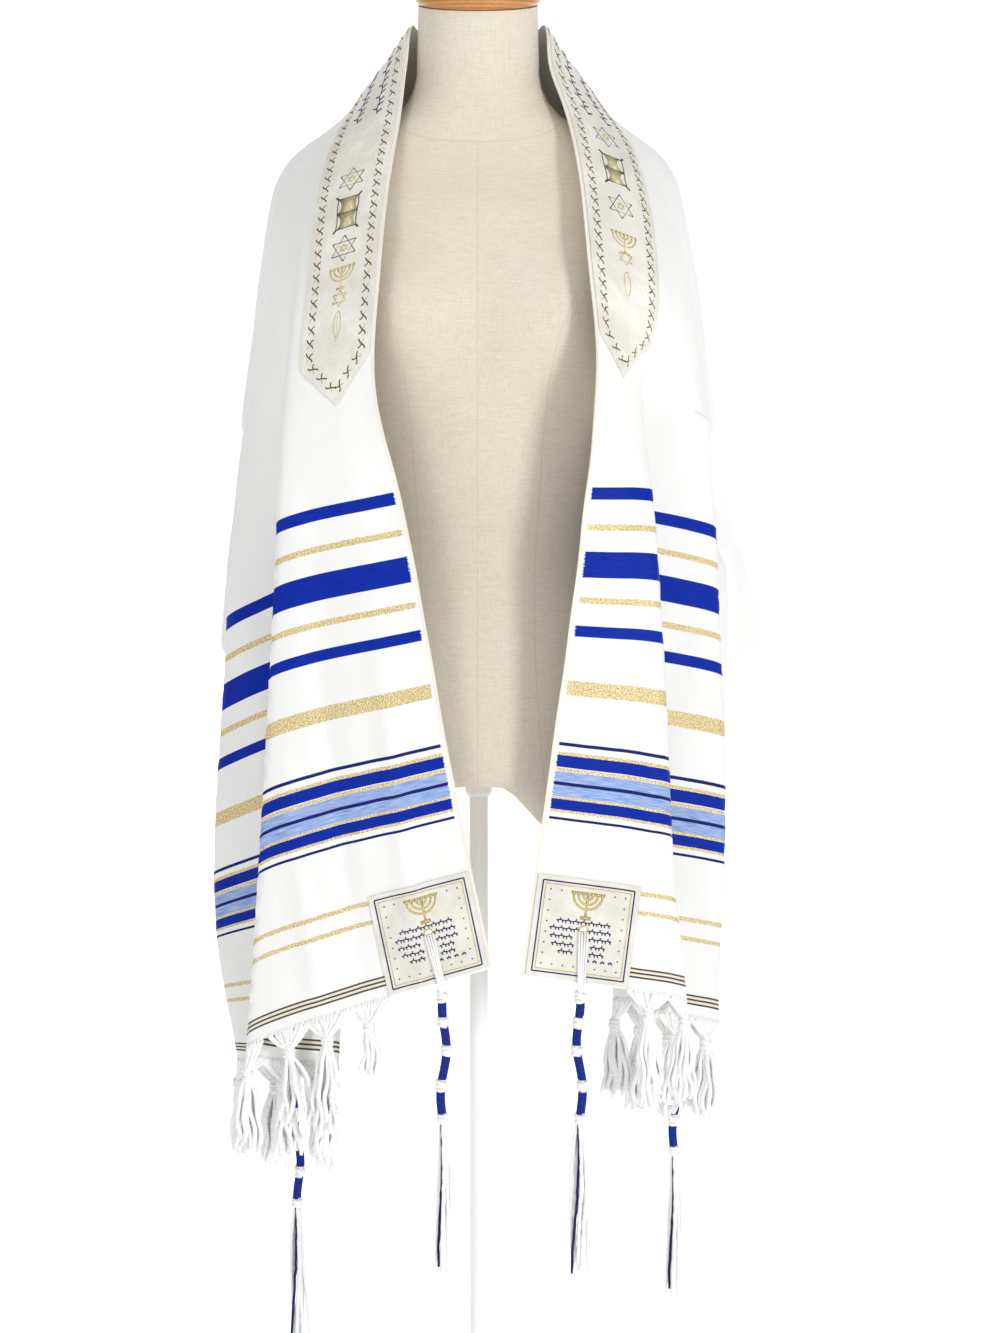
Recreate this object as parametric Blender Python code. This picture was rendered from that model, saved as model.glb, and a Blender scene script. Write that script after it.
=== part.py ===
"""A tallit prayer shawl draped round the neck and shoulders of a limbless dress form on its stand.

Lengths below are in millimetres, heights are above the floor, and the mesh is made in metres.
x runs to the viewer's right, y away from the viewer, and the form faces -y.
"""

import math
from collections import namedtuple

import bmesh
import bpy
import numpy as np
from mathutils import Matrix, Vector
from mathutils.bvhtree import BVHTree

MM = 0.001

# The shawl's cut
CLOTH_WIDTH = 560.0
HALF_LENGTH = 900.0
CLOTH_WALL = 1.2
SEAM_GAP = 0.45
TRIM_WALL = 1.0

# The neckband and the corner patches, sewn on the outer face
NECKBAND_TIPS = {-1: 421.0, 1: 407.0}
NECKBAND_POINT = 34.0
PATCH_SIDE = 84.0
PATCH_MARGIN = 2.0

# How finely the cloth is divided
STEPS_PER_FOLD = 6
EYELET_RADIUS = 4.5
PATCH_COLUMNS = (3.0, 18.0, 33.0, 48.0, 63.0, 88.0)
NECKBAND_COLUMNS = PATCH_COLUMNS[:5]
NEAR_COLUMNS = (0.0, *PATCH_COLUMNS)
FAR_COLUMNS = tuple(CLOTH_WIDTH - v for v in NEAR_COLUMNS[::-1])
# Steps of the columns from the patches to the front fold, between the folds, and on to the far patches.
MIDDLE_STEPS = (2, 3, 4, 3, 2, 1)
LEAST_COLUMN = 9.0
PATCH_TOP = HALF_LENGTH - PATCH_SIDE - PATCH_MARGIN

Corner = namedtuple("Corner", "name side front drift")

# The corners and how far, in v, a string from the eyelet drifts before it leaves the hem.
CORNERS = (
    Corner("front_left", -1, True, -2),
    Corner("front_right", 1, True, 4),
    Corner("rear_left", -1, False, 0),
    Corner("rear_right", 1, False, 0),
)

Tuft = namedtuple("Tuft", "side v length spread lean")

# The knotted tufts of both fringes.
FRINGE_TUFTS = (
    Tuft(-1, 106, 38, 7, 2),
    Tuft(-1, 142, 76, 10, -2),
    Tuft(-1, 176, 56, 14, 6),
    Tuft(-1, 219, 62, 9, 0),
    Tuft(-1, 250, 58, 11, 3),
    Tuft(-1, 286, 66, 9, -3),
    Tuft(-1, 322, 54, 12, 2),
    Tuft(-1, 358, 64, 10, 0),
    Tuft(-1, 394, 58, 11, 4),
    Tuft(-1, 430, 66, 9, -2),
    Tuft(1, 106, 62, 8, 2),
    Tuft(1, 142, 60, 9, -1),
    Tuft(1, 178, 70, 8, -2),
    Tuft(1, 214, 60, 11, 3),
    Tuft(1, 250, 66, 10, -3),
    Tuft(1, 286, 56, 12, 0),
    Tuft(1, 322, 64, 9, 2),
    Tuft(1, 358, 58, 11, -4),
    Tuft(1, 394, 66, 10, 2),
    Tuft(1, 430, 60, 9, 0),
)
CORD_RADIUS = 1.5
CORD_SLACK = 0.5
STRIP_POINTS = 41
SHARP_TURN = 0.6
TURN_DROP = 1.6
KNOT_DROP = 13.0
# The fringe's knots: (height from the middle, radius)
KNOT_PROFILE = ((4.5, 1.6), (2.0, 4.4), (-2.0, 4.4), (-4.5, 2.0))
FRINGE_FROM = 88.0
FRINGE_SEED = 20
LOCKS_PER_TUFT = 4

# The corner tassels: (distance down, radius) along the stem, five knots with four windings between
STEM_PROFILE = (
    (0, 1.8),
    (3, 4.2),
    (9, 4.2),
    (12, 2.6),
    (22, 2.6),
    (25, 4.2),
    (31, 4.2),
    (34, 2.6),
    (44, 2.6),
    (47, 4.2),
    (53, 4.2),
    (56, 2.6),
    (68, 2.6),
    (71, 4.2),
    (77, 4.2),
    (80, 2.6),
    (96, 2.6),
    (99, 4.2),
    (105, 4.2),
    (109, 2.4),
)
TASSEL_DROP = 6.0
TASSEL_SEED = 7
STRANDS_PER_TASSEL = 8
STRAND_LENGTH = 128.0
STRAND_RADIUS = 1.2
STRING_RADIUS = 1.1

Section = namedtuple("Section", "u edge front inner outer tuck back selvage softness")

# Sections of the draped cloth from the centre of the back to the hem, each from the neck edge to
# the far long edge. u is the length along the cloth from its middle. Each point is (out, y, z),
# where out is the distance from the middle plane. From edge to selvage they are the front fold,
# the valley behind it, the outer fold at the side, a second valley, and a fold at the back.
# softness is how far a fold's turn reaches.
UPPER_SECTIONS = (
    Section(0, (0, 57, 1452), (0, 71, 1378), (0, 99, 1302), (0, 117, 1185),
            (0, 119, 1090), (0, 120, 995), (0, 121, 900), 60),
    Section(50, (44, 38, 1456), (52, 62, 1386), (58, 95, 1306), (56, 118, 1190),
            (55, 120, 1094), (53, 122, 998), (52, 124, 901), 60),
    Section(91, (55, 0, 1461), (84, 31, 1413), (110, 76, 1341), (104, 118, 1205),
            (100, 122, 1104), (96, 126, 1004), (93, 129, 903), 60),
    Section(127, (58, -17, 1430), (107, 5, 1390), (152, 36, 1350), (152, 100, 1205),
            (144, 115, 1106), (135, 125, 1008), (127, 133, 909), 60),
)
LEFT_SECTIONS = (
    Section(164, (61, -35, 1398), (114, -22, 1371), (164, 6, 1339), (180, 66, 1200),
            (176, 92, 1105), (168, 118, 1010), (160, 135, 916), 60),
    Section(230, (69, -74, 1346), (129, -62, 1325), (168, -30, 1290), (194, 30, 1150),
            (198, 66, 1078), (214, 94, 1008), (222, 112, 940), 55),
    Section(320, (76, -121, 1270), (144, -102, 1245), (160, -62, 1206), (196, -4, 1124),
            (174, 50, 1076), (204, 92, 1006), (204, 110, 900), 45),
    Section(403, (81, -142, 1185), (155, -114, 1160), (124, -84, 1138), (201, -20, 1078),
            (164, 30, 1036), (204, 76, 975), (198, 94, 872), 40),
    Section(518, (57, -141, 1071), (162, -109, 1041), (104, -90, 1016), (210, -25, 952),
            (160, 14, 926), (204, 52, 880), (188, 86, 832), 40),
    Section(754, (16, -137, 842), (178, -108, 789), (108, -92, 768), (221, -26, 716),
            (170, 4, 710), (202, 40, 688), (166, 78, 664), 46),
    Section(900, (-12, -134, 704), (190, -110, 630), (114, -90, 610), (202, -50, 606),
            (146, -24, 600), (168, 8, 582), (120, 40, 556), 50),
)
RIGHT_SECTIONS = (
    Section(164, (69, -35, 1398), (117, -22, 1371), (162, 6, 1339), (180, 66, 1200),
            (178, 92, 1105), (172, 118, 1010), (164, 135, 916), 60),
    Section(230, (80, -74, 1346), (133, -62, 1325), (167, -30, 1290), (194, 30, 1150),
            (204, 66, 1078), (226, 96, 1010), (244, 116, 946), 55),
    Section(320, (88, -121, 1270), (146, -102, 1245), (160, -62, 1206), (195, -4, 1128),
            (178, 50, 1080), (214, 92, 1008), (212, 110, 905), 45),
    Section(403, (94, -142, 1187), (132, -90, 1178), (110, -66, 1162), (192, -24, 1136),
            (160, 28, 1080), (212, 76, 1000), (214, 96, 872), 40),
    Section(518, (84, -141, 1074), (142, -110, 1069), (105, -90, 1060), (198, -25, 1030),
            (150, 14, 985), (202, 52, 925), (190, 88, 838), 40),
    Section(754, (54, -137, 842), (158, -108, 820), (108, -86, 812), (204, -26, 782),
            (146, 4, 768), (196, 38, 735), (156, 76, 716), 46),
    Section(900, (35, -134, 698), (169, -110, 672), (112, -80, 664), (203, -28, 632),
            (142, 2, 634), (186, 34, 618), (136, 72, 604), 50),
)
# Rows of the cloth's mesh: how many steps there are from each section to the next.
ROW_STEPS = {0: 2, 50: 2, 91: 2, 127: 2, 164: 3, 230: 3, 320: 3, 403: 3, 518: 5, 754: 1}

FormSection = namedtuple("FormSection", "z half_width front back")

# The dress form's level sections, from the underside to the top of the neck.
FORM_SECTIONS = (
    FormSection(806, 148, 98, 108),
    FormSection(824, 153, 103, 113),
    FormSection(858, 154, 104, 116),
    FormSection(910, 146, 100, 110),
    FormSection(965, 130, 92, 98),
    FormSection(1036, 110, 82, 84),
    FormSection(1090, 117, 88, 88),
    FormSection(1142, 128, 94, 95),
    FormSection(1176, 136, 98, 100),
    FormSection(1204, 141, 100, 104),
    FormSection(1232, 146, 100, 106),
    FormSection(1262, 151, 96, 106),
    FormSection(1292, 156, 86, 103),
    FormSection(1322, 156, 74, 92),
    FormSection(1340, 146, 62, 78),
    FormSection(1358, 120, 54, 66),
    FormSection(1374, 92, 50, 57),
    FormSection(1390, 66, 49, 52),
    FormSection(1410, 53, 48, 50),
    FormSection(1440, 50, 48, 49),
    FormSection(1478, 49, 48, 48),
)
BUST_OUT = 76
BUST_HEIGHT = 1226
BUST_DEPTH = 30
BUST_SPREAD = 52
UNDERSIDE_ARCH = 40
ARCH_FLAT = 16
ARCH_REACH = 66
# How much of the arch the lowest level sections take, and the sizes of the rings inside the underside.
ARCH_FADES = (1.0, 0.65)
UNDERSIDE_RINGS = (0.72, 0.45, 0.2, 0.08)
FORM_SIDES = 32
NECK_TILT_FROM = 1400
NECK_TILT = 0.16
CLEARANCE = 3.0

# The turned neck cap and the stand
CAP_PROFILE = ((48, 0), (52, 4), (52, 14), (46, 18), (22, 24), (12, 30), (13, 44), (6, 50))
CAP_SIDES = 20
POLE_RADIUS = 8.0
BASE_RADIUS = 170.0
BASE_THICKNESS = 12.0
POLE_SIDES = 20
BASE_SIDES = 32
MERGE = 0.001
FERRULE_RADIUS = 11.5
FERRULE_HEIGHT = 24.0
REST_GAP = 0.3
# Edges that turn by more degrees than this are shaded sharp.
SHARP_EDGE = 40

LINEN = (0.83, 0.78, 0.69)
SATIN = (0.93, 0.93, 0.92)
IVORY = (0.87, 0.84, 0.76)
YARN = (0.93, 0.93, 0.91)
WOOD = (0.62, 0.34, 0.12)
LACQUER = (0.90, 0.90, 0.89)


def clear_scene():
    for thing in list(bpy.data.objects):
        bpy.data.objects.remove(thing)


def make_material(name, colour, roughness, metallic=0.0):
    material = bpy.data.materials.new(name)
    material.use_nodes = True
    shader = material.node_tree.nodes["Principled BSDF"]
    shader.inputs["Base Color"].default_value = (*colour, 1.0)
    shader.inputs["Roughness"].default_value = roughness
    shader.inputs["Metallic"].default_value = metallic
    return material


def shade_round(mesh):
    """Smooth shading but for the edges that turn sharply."""
    mesh.shade_smooth()
    mesh.set_sharp_from_angle(angle=math.radians(SHARP_EDGE))


def make_object(name, points, faces, material):
    """A named mesh object from points in millimetres, with its faces made to point outwards."""
    mesh = bpy.data.meshes.new(name)
    mesh.from_pydata([tuple(c * MM for c in p) for p in points], [], faces)
    shaped = bmesh.new()
    shaped.from_mesh(mesh)
    bmesh.ops.recalc_face_normals(shaped, faces=shaped.faces)
    shaped.to_mesh(mesh)
    shaped.free()
    mesh.materials.append(material)
    shade_round(mesh)
    made = bpy.data.objects.new(name, mesh)
    bpy.context.scene.collection.objects.link(made)
    return made


def hermite(p, q, tangent_p, tangent_q, t):
    """The point at share t of a cubic from p to q with these end tangents."""
    t2, t3 = t * t, t * t * t
    start, end = 2 * t3 - 3 * t2 + 1, 3 * t2 - 2 * t3
    return p * start + tangent_p * (t3 - 2 * t2 + t) + q * end + tangent_q * (t3 - t2)


def along_stations(stations, values, u):
    """values at the stations, read at u from a smooth curve through them."""
    last = len(stations) - 1
    i = min(max(0, int(np.searchsorted(stations, u, side="right")) - 1), last - 1)
    slopes = [(values[k + 1] - values[k]) / (stations[k + 1] - stations[k]) for k in range(last)]
    step = stations[i + 1] - stations[i]

    def slope_at(k):
        if k == 0:
            return slopes[0]
        if k == last:
            return slopes[-1]
        before, after = stations[k] - stations[k - 1], stations[k + 1] - stations[k]
        return (slopes[k - 1] * after + slopes[k] * before) / (before + after)

    t = (u - stations[i]) / step
    return hermite(values[i], values[i + 1], slope_at(i) * step, slope_at(i + 1) * step, t)


def unit(v):
    return v / max(float(np.linalg.norm(v)), 1e-9)


class Drape:
    """One half of the draped cloth, from the middle of the back to one hem. side is -1 or 1."""

    def __init__(self, side):
        lower = LEFT_SECTIONS if side < 0 else RIGHT_SECTIONS
        self.side = side
        self.sections = (*UPPER_SECTIONS, *lower)
        self.stations = np.array([s.u for s in self.sections], float)
        self.folds = np.array([s[1:-1] for s in self.sections], float)
        # The middle of the back is met level by both halves.
        self.folds[0, :, 0] = 0.0
        self.softness = np.array([s.softness for s in self.sections], float)

    def fold_points(self, u):
        u = min(max(u, 0.0), HALF_LENGTH)
        points = along_stations(self.stations, self.folds, u).copy()
        points[:, 0] *= self.side
        return points

    def row(self, u, places=None, steps=STEPS_PER_FOLD):
        """The cloth's line at this u: its points and their distances from the neck edge."""
        folds = self.fold_points(u)
        soft = float(np.interp(u, self.stations, self.softness))
        last = len(folds) - 1
        tangents = []
        for k in range(last + 1):
            before = folds[k] - folds[k - 1] if k else folds[1] - folds[0]
            after = folds[k + 1] - folds[k] if k < last else before
            near = min(np.linalg.norm(before), np.linalg.norm(after))
            tangents.append(unit(unit(before) + unit(after)) * min(soft, near))
        points = [folds[0]]
        for k in range(last):
            for step in range(1, steps + 1):
                points.append(hermite(folds[k], folds[k + 1], tangents[k], tangents[k + 1], step / steps))
        points = np.array(points)
        lengths = np.concatenate([[0], np.cumsum(np.linalg.norm(np.diff(points, axis=0), axis=1))])
        front = lengths[steps]
        rest = (CLOTH_WIDTH - front) / (lengths[-1] - front)
        v = np.where(lengths <= front, lengths, front + (lengths - front) * rest)
        if places is None:
            places = self.columns(v[steps:-1:steps])
        placed = np.stack([np.interp(places, v, points[:, axis]) for axis in range(3)], axis=1)
        return np.array([self.clear_of_form(p) for p in placed]), np.array(places, float)

    def columns(self, folds):
        """The v of each column of a row: fixed near both long edges, and on the folds between."""
        near, far = NEAR_COLUMNS[-1], FAR_COLUMNS[0]
        stops = [near]
        for k, fold in enumerate(folds):
            least = stops[-1] + LEAST_COLUMN * MIDDLE_STEPS[k]
            most = far - LEAST_COLUMN * sum(MIDDLE_STEPS[k + 1 :])
            stops.append(min(max(fold, least), most))
        stops.append(far)
        middle = []
        for k, steps in enumerate(MIDDLE_STEPS):
            middle += [stops[k] + (stops[k + 1] - stops[k]) * step / steps for step in range(1, steps)]
            middle.append(stops[k + 1])
        return [*NEAR_COLUMNS, *middle[:-1], *FAR_COLUMNS]

    def clear_of_form(self, point):
        """The point, moved straight out where it lies nearer to the form than the clearance."""
        near, normal, _, _ = FORM_TREE.find_nearest(Vector(point))
        gap = (Vector(point) - near).dot(normal)
        if gap >= CLEARANCE:
            return point
        return np.array(near + normal * CLEARANCE)


def row_positions():
    """The u of each row of one half, from the middle of the back to the hem."""
    sections = [s.u for s in (*UPPER_SECTIONS, *LEFT_SECTIONS)]
    spans = [*zip(sections, sections[1:-1]), (sections[-2], PATCH_TOP)]
    rows = []
    for start, end in spans:
        steps = ROW_STEPS[start]
        rows += [start + (end - start) * k / steps for k in range(steps)]
    tips = [tip - back for tip in NECKBAND_TIPS.values() for back in (0, NECKBAND_POINT)]
    rows = [u for u in rows if all(abs(u - tip) > 9 for tip in tips)] + tips
    return [*sorted(rows), PATCH_TOP, PATCH_TOP + PATCH_SIDE / 2, PATCH_TOP + PATCH_SIDE, HALF_LENGTH]


def cloth_grid():
    """The whole cloth as a grid: signed u of each row, and v, points and normals at each place."""
    rows = row_positions()
    signed = np.array([-u for u in rows[:0:-1]] + rows)
    halves = {-1: Drape(-1), 1: Drape(1)}
    points, v = zip(*[halves[-1 if u < 0 else 1].row(abs(u)) for u in signed])
    points, v = np.array(points), np.array(v)
    along = np.gradient(points, axis=0)
    across = np.gradient(points, axis=1)
    normals = np.cross(along, across)
    normals /= np.maximum(np.linalg.norm(normals, axis=2, keepdims=True), 1e-9)
    return signed, v, points, normals


def wall(name, inner, outer, material):
    """A closed wall between two grids of points of the same size."""
    rows, columns = inner.shape[:2]
    points = [*inner.reshape(-1, 3), *outer.reshape(-1, 3)]
    count = rows * columns

    def at(i, j, layer):
        return layer * count + i * columns + j

    faces = []
    for i in range(rows - 1):
        for j in range(columns - 1):
            for a, b, c in (((i, j), (i + 1, j), (i + 1, j + 1)), ((i, j), (i + 1, j + 1), (i, j + 1))):
                faces.append((at(*a, 0), at(*b, 0), at(*c, 0)))
                faces.append((at(*c, 1), at(*b, 1), at(*a, 1)))
    rim = [(i, 0) for i in range(rows)] + [(rows - 1, j) for j in range(1, columns)]
    rim += [(i, columns - 1) for i in range(rows - 2, -1, -1)] + [(0, j) for j in range(columns - 2, 0, -1)]
    for (i, j), (k, m) in zip(rim, rim[1:] + rim[:1]):
        faces.append((at(i, j, 0), at(i, j, 1), at(k, m, 1), at(k, m, 0)))
    return make_object(name, points, faces, material)


class Sheet:
    """The cloth's grid, read at any place on it."""

    def __init__(self):
        self.u, self.v, self.points, self.normals = cloth_grid()

    def spot(self, u, v, lift):
        """The point at (u, v), moved out from the middle of the wall by lift."""
        i = min(max(int(np.searchsorted(self.u, u, side="right")) - 1, 0), len(self.u) - 2)
        s = (u - self.u[i]) / (self.u[i + 1] - self.u[i])
        ends = []
        for k in (i, i + 1):
            lifted = self.points[k] + self.normals[k] * lift
            ends.append(np.array([np.interp(v, self.v[k], lifted[:, axis]) for axis in range(3)]))
        return ends[0] * (1 - s) + ends[1] * s

    def overlay(self, name, rows, thickness, material):
        """A wall on the outer face. rows lists (u, its v places), as many v places in each row."""
        low = CLOTH_WALL / 2 + SEAM_GAP
        inner = np.array([[self.spot(u, v, low) for v in places] for u, places in rows])
        outer = np.array([[self.spot(u, v, low + thickness) for v in places] for u, places in rows])
        return wall(name, inner, outer, material)

    def between(self, start, end):
        """The rows' u from start to end, with both ends."""
        inside = [u for u in self.u if start + 1 < u < end - 1]
        return [start, *inside, end]


def make_cloth(sheet, material):
    half = CLOTH_WALL / 2
    inner = sheet.points - sheet.normals * half
    outer = sheet.points + sheet.normals * half
    return wall("shawl_cloth", inner, outer, material)


def make_neckband(sheet, material):
    """The atarah: a satin band along the neck edge, with a point at each end."""
    near, far = NECKBAND_COLUMNS[0], NECKBAND_COLUMNS[-1]
    middle = (near + far) / 2
    rows = []
    for u in sheet.between(-NECKBAND_TIPS[-1], NECKBAND_TIPS[1]):
        left = NECKBAND_TIPS[1 if u > 0 else -1] - abs(u)
        share = min(1.0, max(left / NECKBAND_POINT, 0.04))
        rows.append((u, [middle + (v - middle) * share for v in NECKBAND_COLUMNS]))
    shoulders = [(s * (NECKBAND_TIPS[s] - NECKBAND_POINT), list(NECKBAND_COLUMNS)) for s in (-1, 1)]
    rows = [row for row in rows if all(abs(row[0] - u) > 6 for u, _ in shoulders)] + shoulders
    return sheet.overlay("neckband", sorted(rows, key=lambda row: row[0]), TRIM_WALL, material)


def cut_eyelet(made, sheet, u, v):
    """Cuts the round hole of an eyelet through a piece."""
    centre = sheet.spot(u, v, 0)
    normal = sheet.spot(u, v, 1) - centre
    turn = Vector(normal).to_track_quat("Z", "Y").to_euler()
    bpy.ops.mesh.primitive_cylinder_add(
        vertices=10, radius=EYELET_RADIUS * MM, depth=12 * MM, location=Vector(centre) * MM, rotation=turn
    )
    cutter = bpy.context.object
    side = "left" if u < 0 else "right"
    edge = "near" if v < CLOTH_WIDTH / 2 else "far"
    cutter.name = f"eyelet_cutter_{made.name}_{side}_{edge}"
    cutter.hide_render = True
    cutter.display_type = "WIRE"
    cut = made.modifiers.new("eyelet", "BOOLEAN")
    cut.operation = "DIFFERENCE"
    cut.solver = "EXACT"
    cut.object = cutter


def make_patches(sheet, cloth, material):
    for corner in CORNERS:
        start, end = sorted((corner.side * PATCH_TOP, corner.side * (PATCH_TOP + PATCH_SIDE)))
        places = PATCH_COLUMNS if corner.front else [CLOTH_WIDTH - v for v in reversed(PATCH_COLUMNS)]
        rows = [(u, places) for u in sheet.between(start, end)]
        patch = sheet.overlay(f"patch_{corner.name}", rows, TRIM_WALL, material)
        u, v = corner.side * (PATCH_TOP + PATCH_SIDE / 2), eyelet_v(corner)
        cut_eyelet(patch, sheet, u, v)
        cut_eyelet(cloth, sheet, u, v)


def eyelet_v(corner):
    middle = (PATCH_COLUMNS[0] + PATCH_COLUMNS[-1]) / 2
    return middle if corner.front else CLOTH_WIDTH - middle


def tube(points, radii, sides, turn=0.0):
    """Points and faces of a tube along points, closed at both ends."""
    points = [np.array(p, float) for p in points]
    made, faces = [], []
    across = None
    for i, point in enumerate(points):
        along = unit(points[min(i + 1, len(points) - 1)] - points[max(i - 1, 0)])
        if across is None:
            across = np.cross(along, (0.3, 1.0, 0.1) if abs(along[1]) < 0.9 else (1.0, 0.2, 0.1))
        across = unit(across - along * float(np.dot(across, along)))
        other = np.cross(along, across)
        for k in range(sides):
            angle = 2 * math.pi * (k + turn) / sides
            made.append(point + (across * math.cos(angle) + other * math.sin(angle)) * radii[i])
    for i in range(len(points) - 1):
        for k in range(sides):
            m = (k + 1) % sides
            faces.append((i * sides + k, i * sides + m, (i + 1) * sides + m, (i + 1) * sides + k))
    faces.append(tuple(range(sides)))
    faces.append(tuple((len(points) - 1) * sides + k for k in range(sides)))
    return made, faces


def fuse(name, shapes, material):
    """One solid from overlapping closed shapes: the first, with all the others joined to it."""
    whole = make_object(name, *shapes[0], material)
    others = bpy.data.collections.new(f"{name}_strands")
    made = []
    for i, shape in enumerate(shapes[1:]):
        strand = make_object(f"{name}_strand_{i}", *shape, material)
        bpy.context.scene.collection.objects.unlink(strand)
        others.objects.link(strand)
        made.append(strand)
    joined = whole.modifiers.new("strands", "BOOLEAN")
    joined.operation = "UNION"
    joined.solver = "EXACT"
    joined.operand_type = "COLLECTION"
    joined.collection = others
    bpy.context.view_layer.update()
    graph = bpy.context.evaluated_depsgraph_get()
    mesh = bpy.data.meshes.new_from_object(whole.evaluated_get(graph))
    shade_round(mesh)
    whole.modifiers.clear()
    whole.data = mesh
    for strand in made:
        bpy.data.objects.remove(strand)
    bpy.data.collections.remove(others)
    return whole


def strand_path(root, lean, length, wave, steps):
    """A hanging strand's points: it leaves the root at a lean and then hangs straight down."""
    points = []
    for k in range(steps + 1):
        t = k / steps
        swing = math.sin(t * math.pi) * wave
        out = lean * (1 - (1 - t) ** 2)
        points.append(np.array(root, float) + np.array([out[0] + swing, out[1] + swing * 0.4, -length * t]))
    return points


def make_fringe(sheet, side, material):
    """The knotted fringe of one short edge: tufts in a narrow strip below the hem."""
    name = "fringe_left" if side < 0 else "fringe_right"
    u = side * HALF_LENGTH
    random = np.random.default_rng(FRINGE_SEED + side)
    down = np.array([0, 0, -1])
    strip_drop = SEAM_GAP + CORD_RADIUS + CORD_SLACK

    places = np.linspace(FRINGE_FROM, CLOTH_WIDTH - FRINGE_FROM, STRIP_POINTS)
    edge = np.array([sheet.spot(u, v, 0) for v in places])
    strip = edge + down * strip_drop
    legs = [unit(leg) for leg in np.diff(strip, axis=0)]
    for i, (before, after) in enumerate(zip(legs, legs[1:]), start=1):
        if float(np.dot(before, after)) < SHARP_TURN:
            strip[i] += down * TURN_DROP
    shapes = [tube(strip, [CORD_RADIUS] * len(strip), 4, 0.5)]
    tufts = [t for t in FRINGE_TUFTS if t.side == side]
    for tuft in tufts:
        root = np.array([np.interp(tuft.v, places, strip[:, axis]) for axis in range(3)]) + down * 0.3
        knot = root + down * KNOT_DROP
        shapes.append(tube([root, knot + (0, 0, 3)], [1.5, 1.5], 4))
        shapes.append(tube([knot + (0, 0, z) for z, _ in KNOT_PROFILE], [r for _, r in KNOT_PROFILE], 5))
        for k in range(LOCKS_PER_TUFT):
            angle = 2 * math.pi * (k + random.uniform(-0.2, 0.2)) / LOCKS_PER_TUFT
            spread = tuft.spread * random.uniform(0.6, 1.1)
            lean = np.array([math.cos(angle) * spread + tuft.lean, math.sin(angle) * spread * 0.45])
            start = knot + (math.cos(angle) * 1.5, math.sin(angle) * 1.5, -2.5)
            length = tuft.length * random.uniform(0.82, 1.05)
            path = strand_path(start, lean, length, random.uniform(-2, 2), 2)
            shapes.append(tube(path, [1.4, 2.6, 1.6], 3, random.uniform(0, 1)))
    return fuse(name, shapes, material)


def make_tassel(sheet, corner, material):
    """A corner tassel: a loop through the eyelet, a stem of knots and windings, and loose strands."""
    u = corner.side * (PATCH_TOP + PATCH_SIDE / 2)
    v = eyelet_v(corner)
    front_lift = CLOTH_WALL / 2 + SEAM_GAP + TRIM_WALL + 2 * REST_GAP + STRING_RADIUS
    back_lift = -(CLOTH_WALL / 2 + REST_GAP + STRING_RADIUS)
    hem_u = corner.side * HALF_LENGTH
    hem_v = v + corner.drift

    def on_way(share, lift):
        return sheet.spot(u + (hem_u - u) * share, v + (hem_v - v) * share, lift)

    hem = on_way(1.0, 0)
    inside_u = hem_u - corner.side * 10
    down = unit(hem - sheet.spot(inside_u, hem_v, 0))
    outward = unit(sheet.spot(hem_u, hem_v, 1) - hem)
    top = hem + down * 4 + np.array([0, 0, -TASSEL_DROP])
    front = [on_way(t, front_lift) for t in (0.06, 0.4, 0.75)]
    front += [on_way(1.0, front_lift) + down * 1.0]
    back = [on_way(t, back_lift - 0.8) for t in (0.06, 0.4, 0.75)]
    back += [on_way(1.0, back_lift - 0.8) + down * 1.0]
    hole = sheet.spot(u, v, 0) + unit(hem - sheet.spot(u, v, 0)) * (EYELET_RADIUS - 2.2 - STRING_RADIUS)
    loop = [top + (0, 0, -3), *back[::-1], hole + outward * (back_lift + 0.4)]
    loop += [hole + outward * (front_lift - 0.4), *front, top + (0, 0, -3)]
    shapes = [tube([top + (0, 0, -z) for z, _ in STEM_PROFILE], [r for _, r in STEM_PROFILE], 6)]
    shapes.append(tube(loop, [STRING_RADIUS] * len(loop), 4))
    random = np.random.default_rng(TASSEL_SEED + len(corner.name))
    length = STEM_PROFILE[-1][0]
    for k in range(STRANDS_PER_TASSEL):
        angle = 2 * math.pi * k / STRANDS_PER_TASSEL
        start = top + (math.cos(angle) * 1.6, math.sin(angle) * 1.6, -length + 2.5)
        lean = np.array([math.cos(angle), math.sin(angle)]) * random.uniform(3.5, 6.5)
        length_here = STRAND_LENGTH * random.uniform(0.9, 1.03)
        path = strand_path(start, lean, length_here, random.uniform(-2.5, 2.5), 4)
        shapes.append(tube(path, [STRAND_RADIUS] * 5, 3, 0.5))
    return fuse(f"tassel_{corner.name}", shapes, material)


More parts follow.
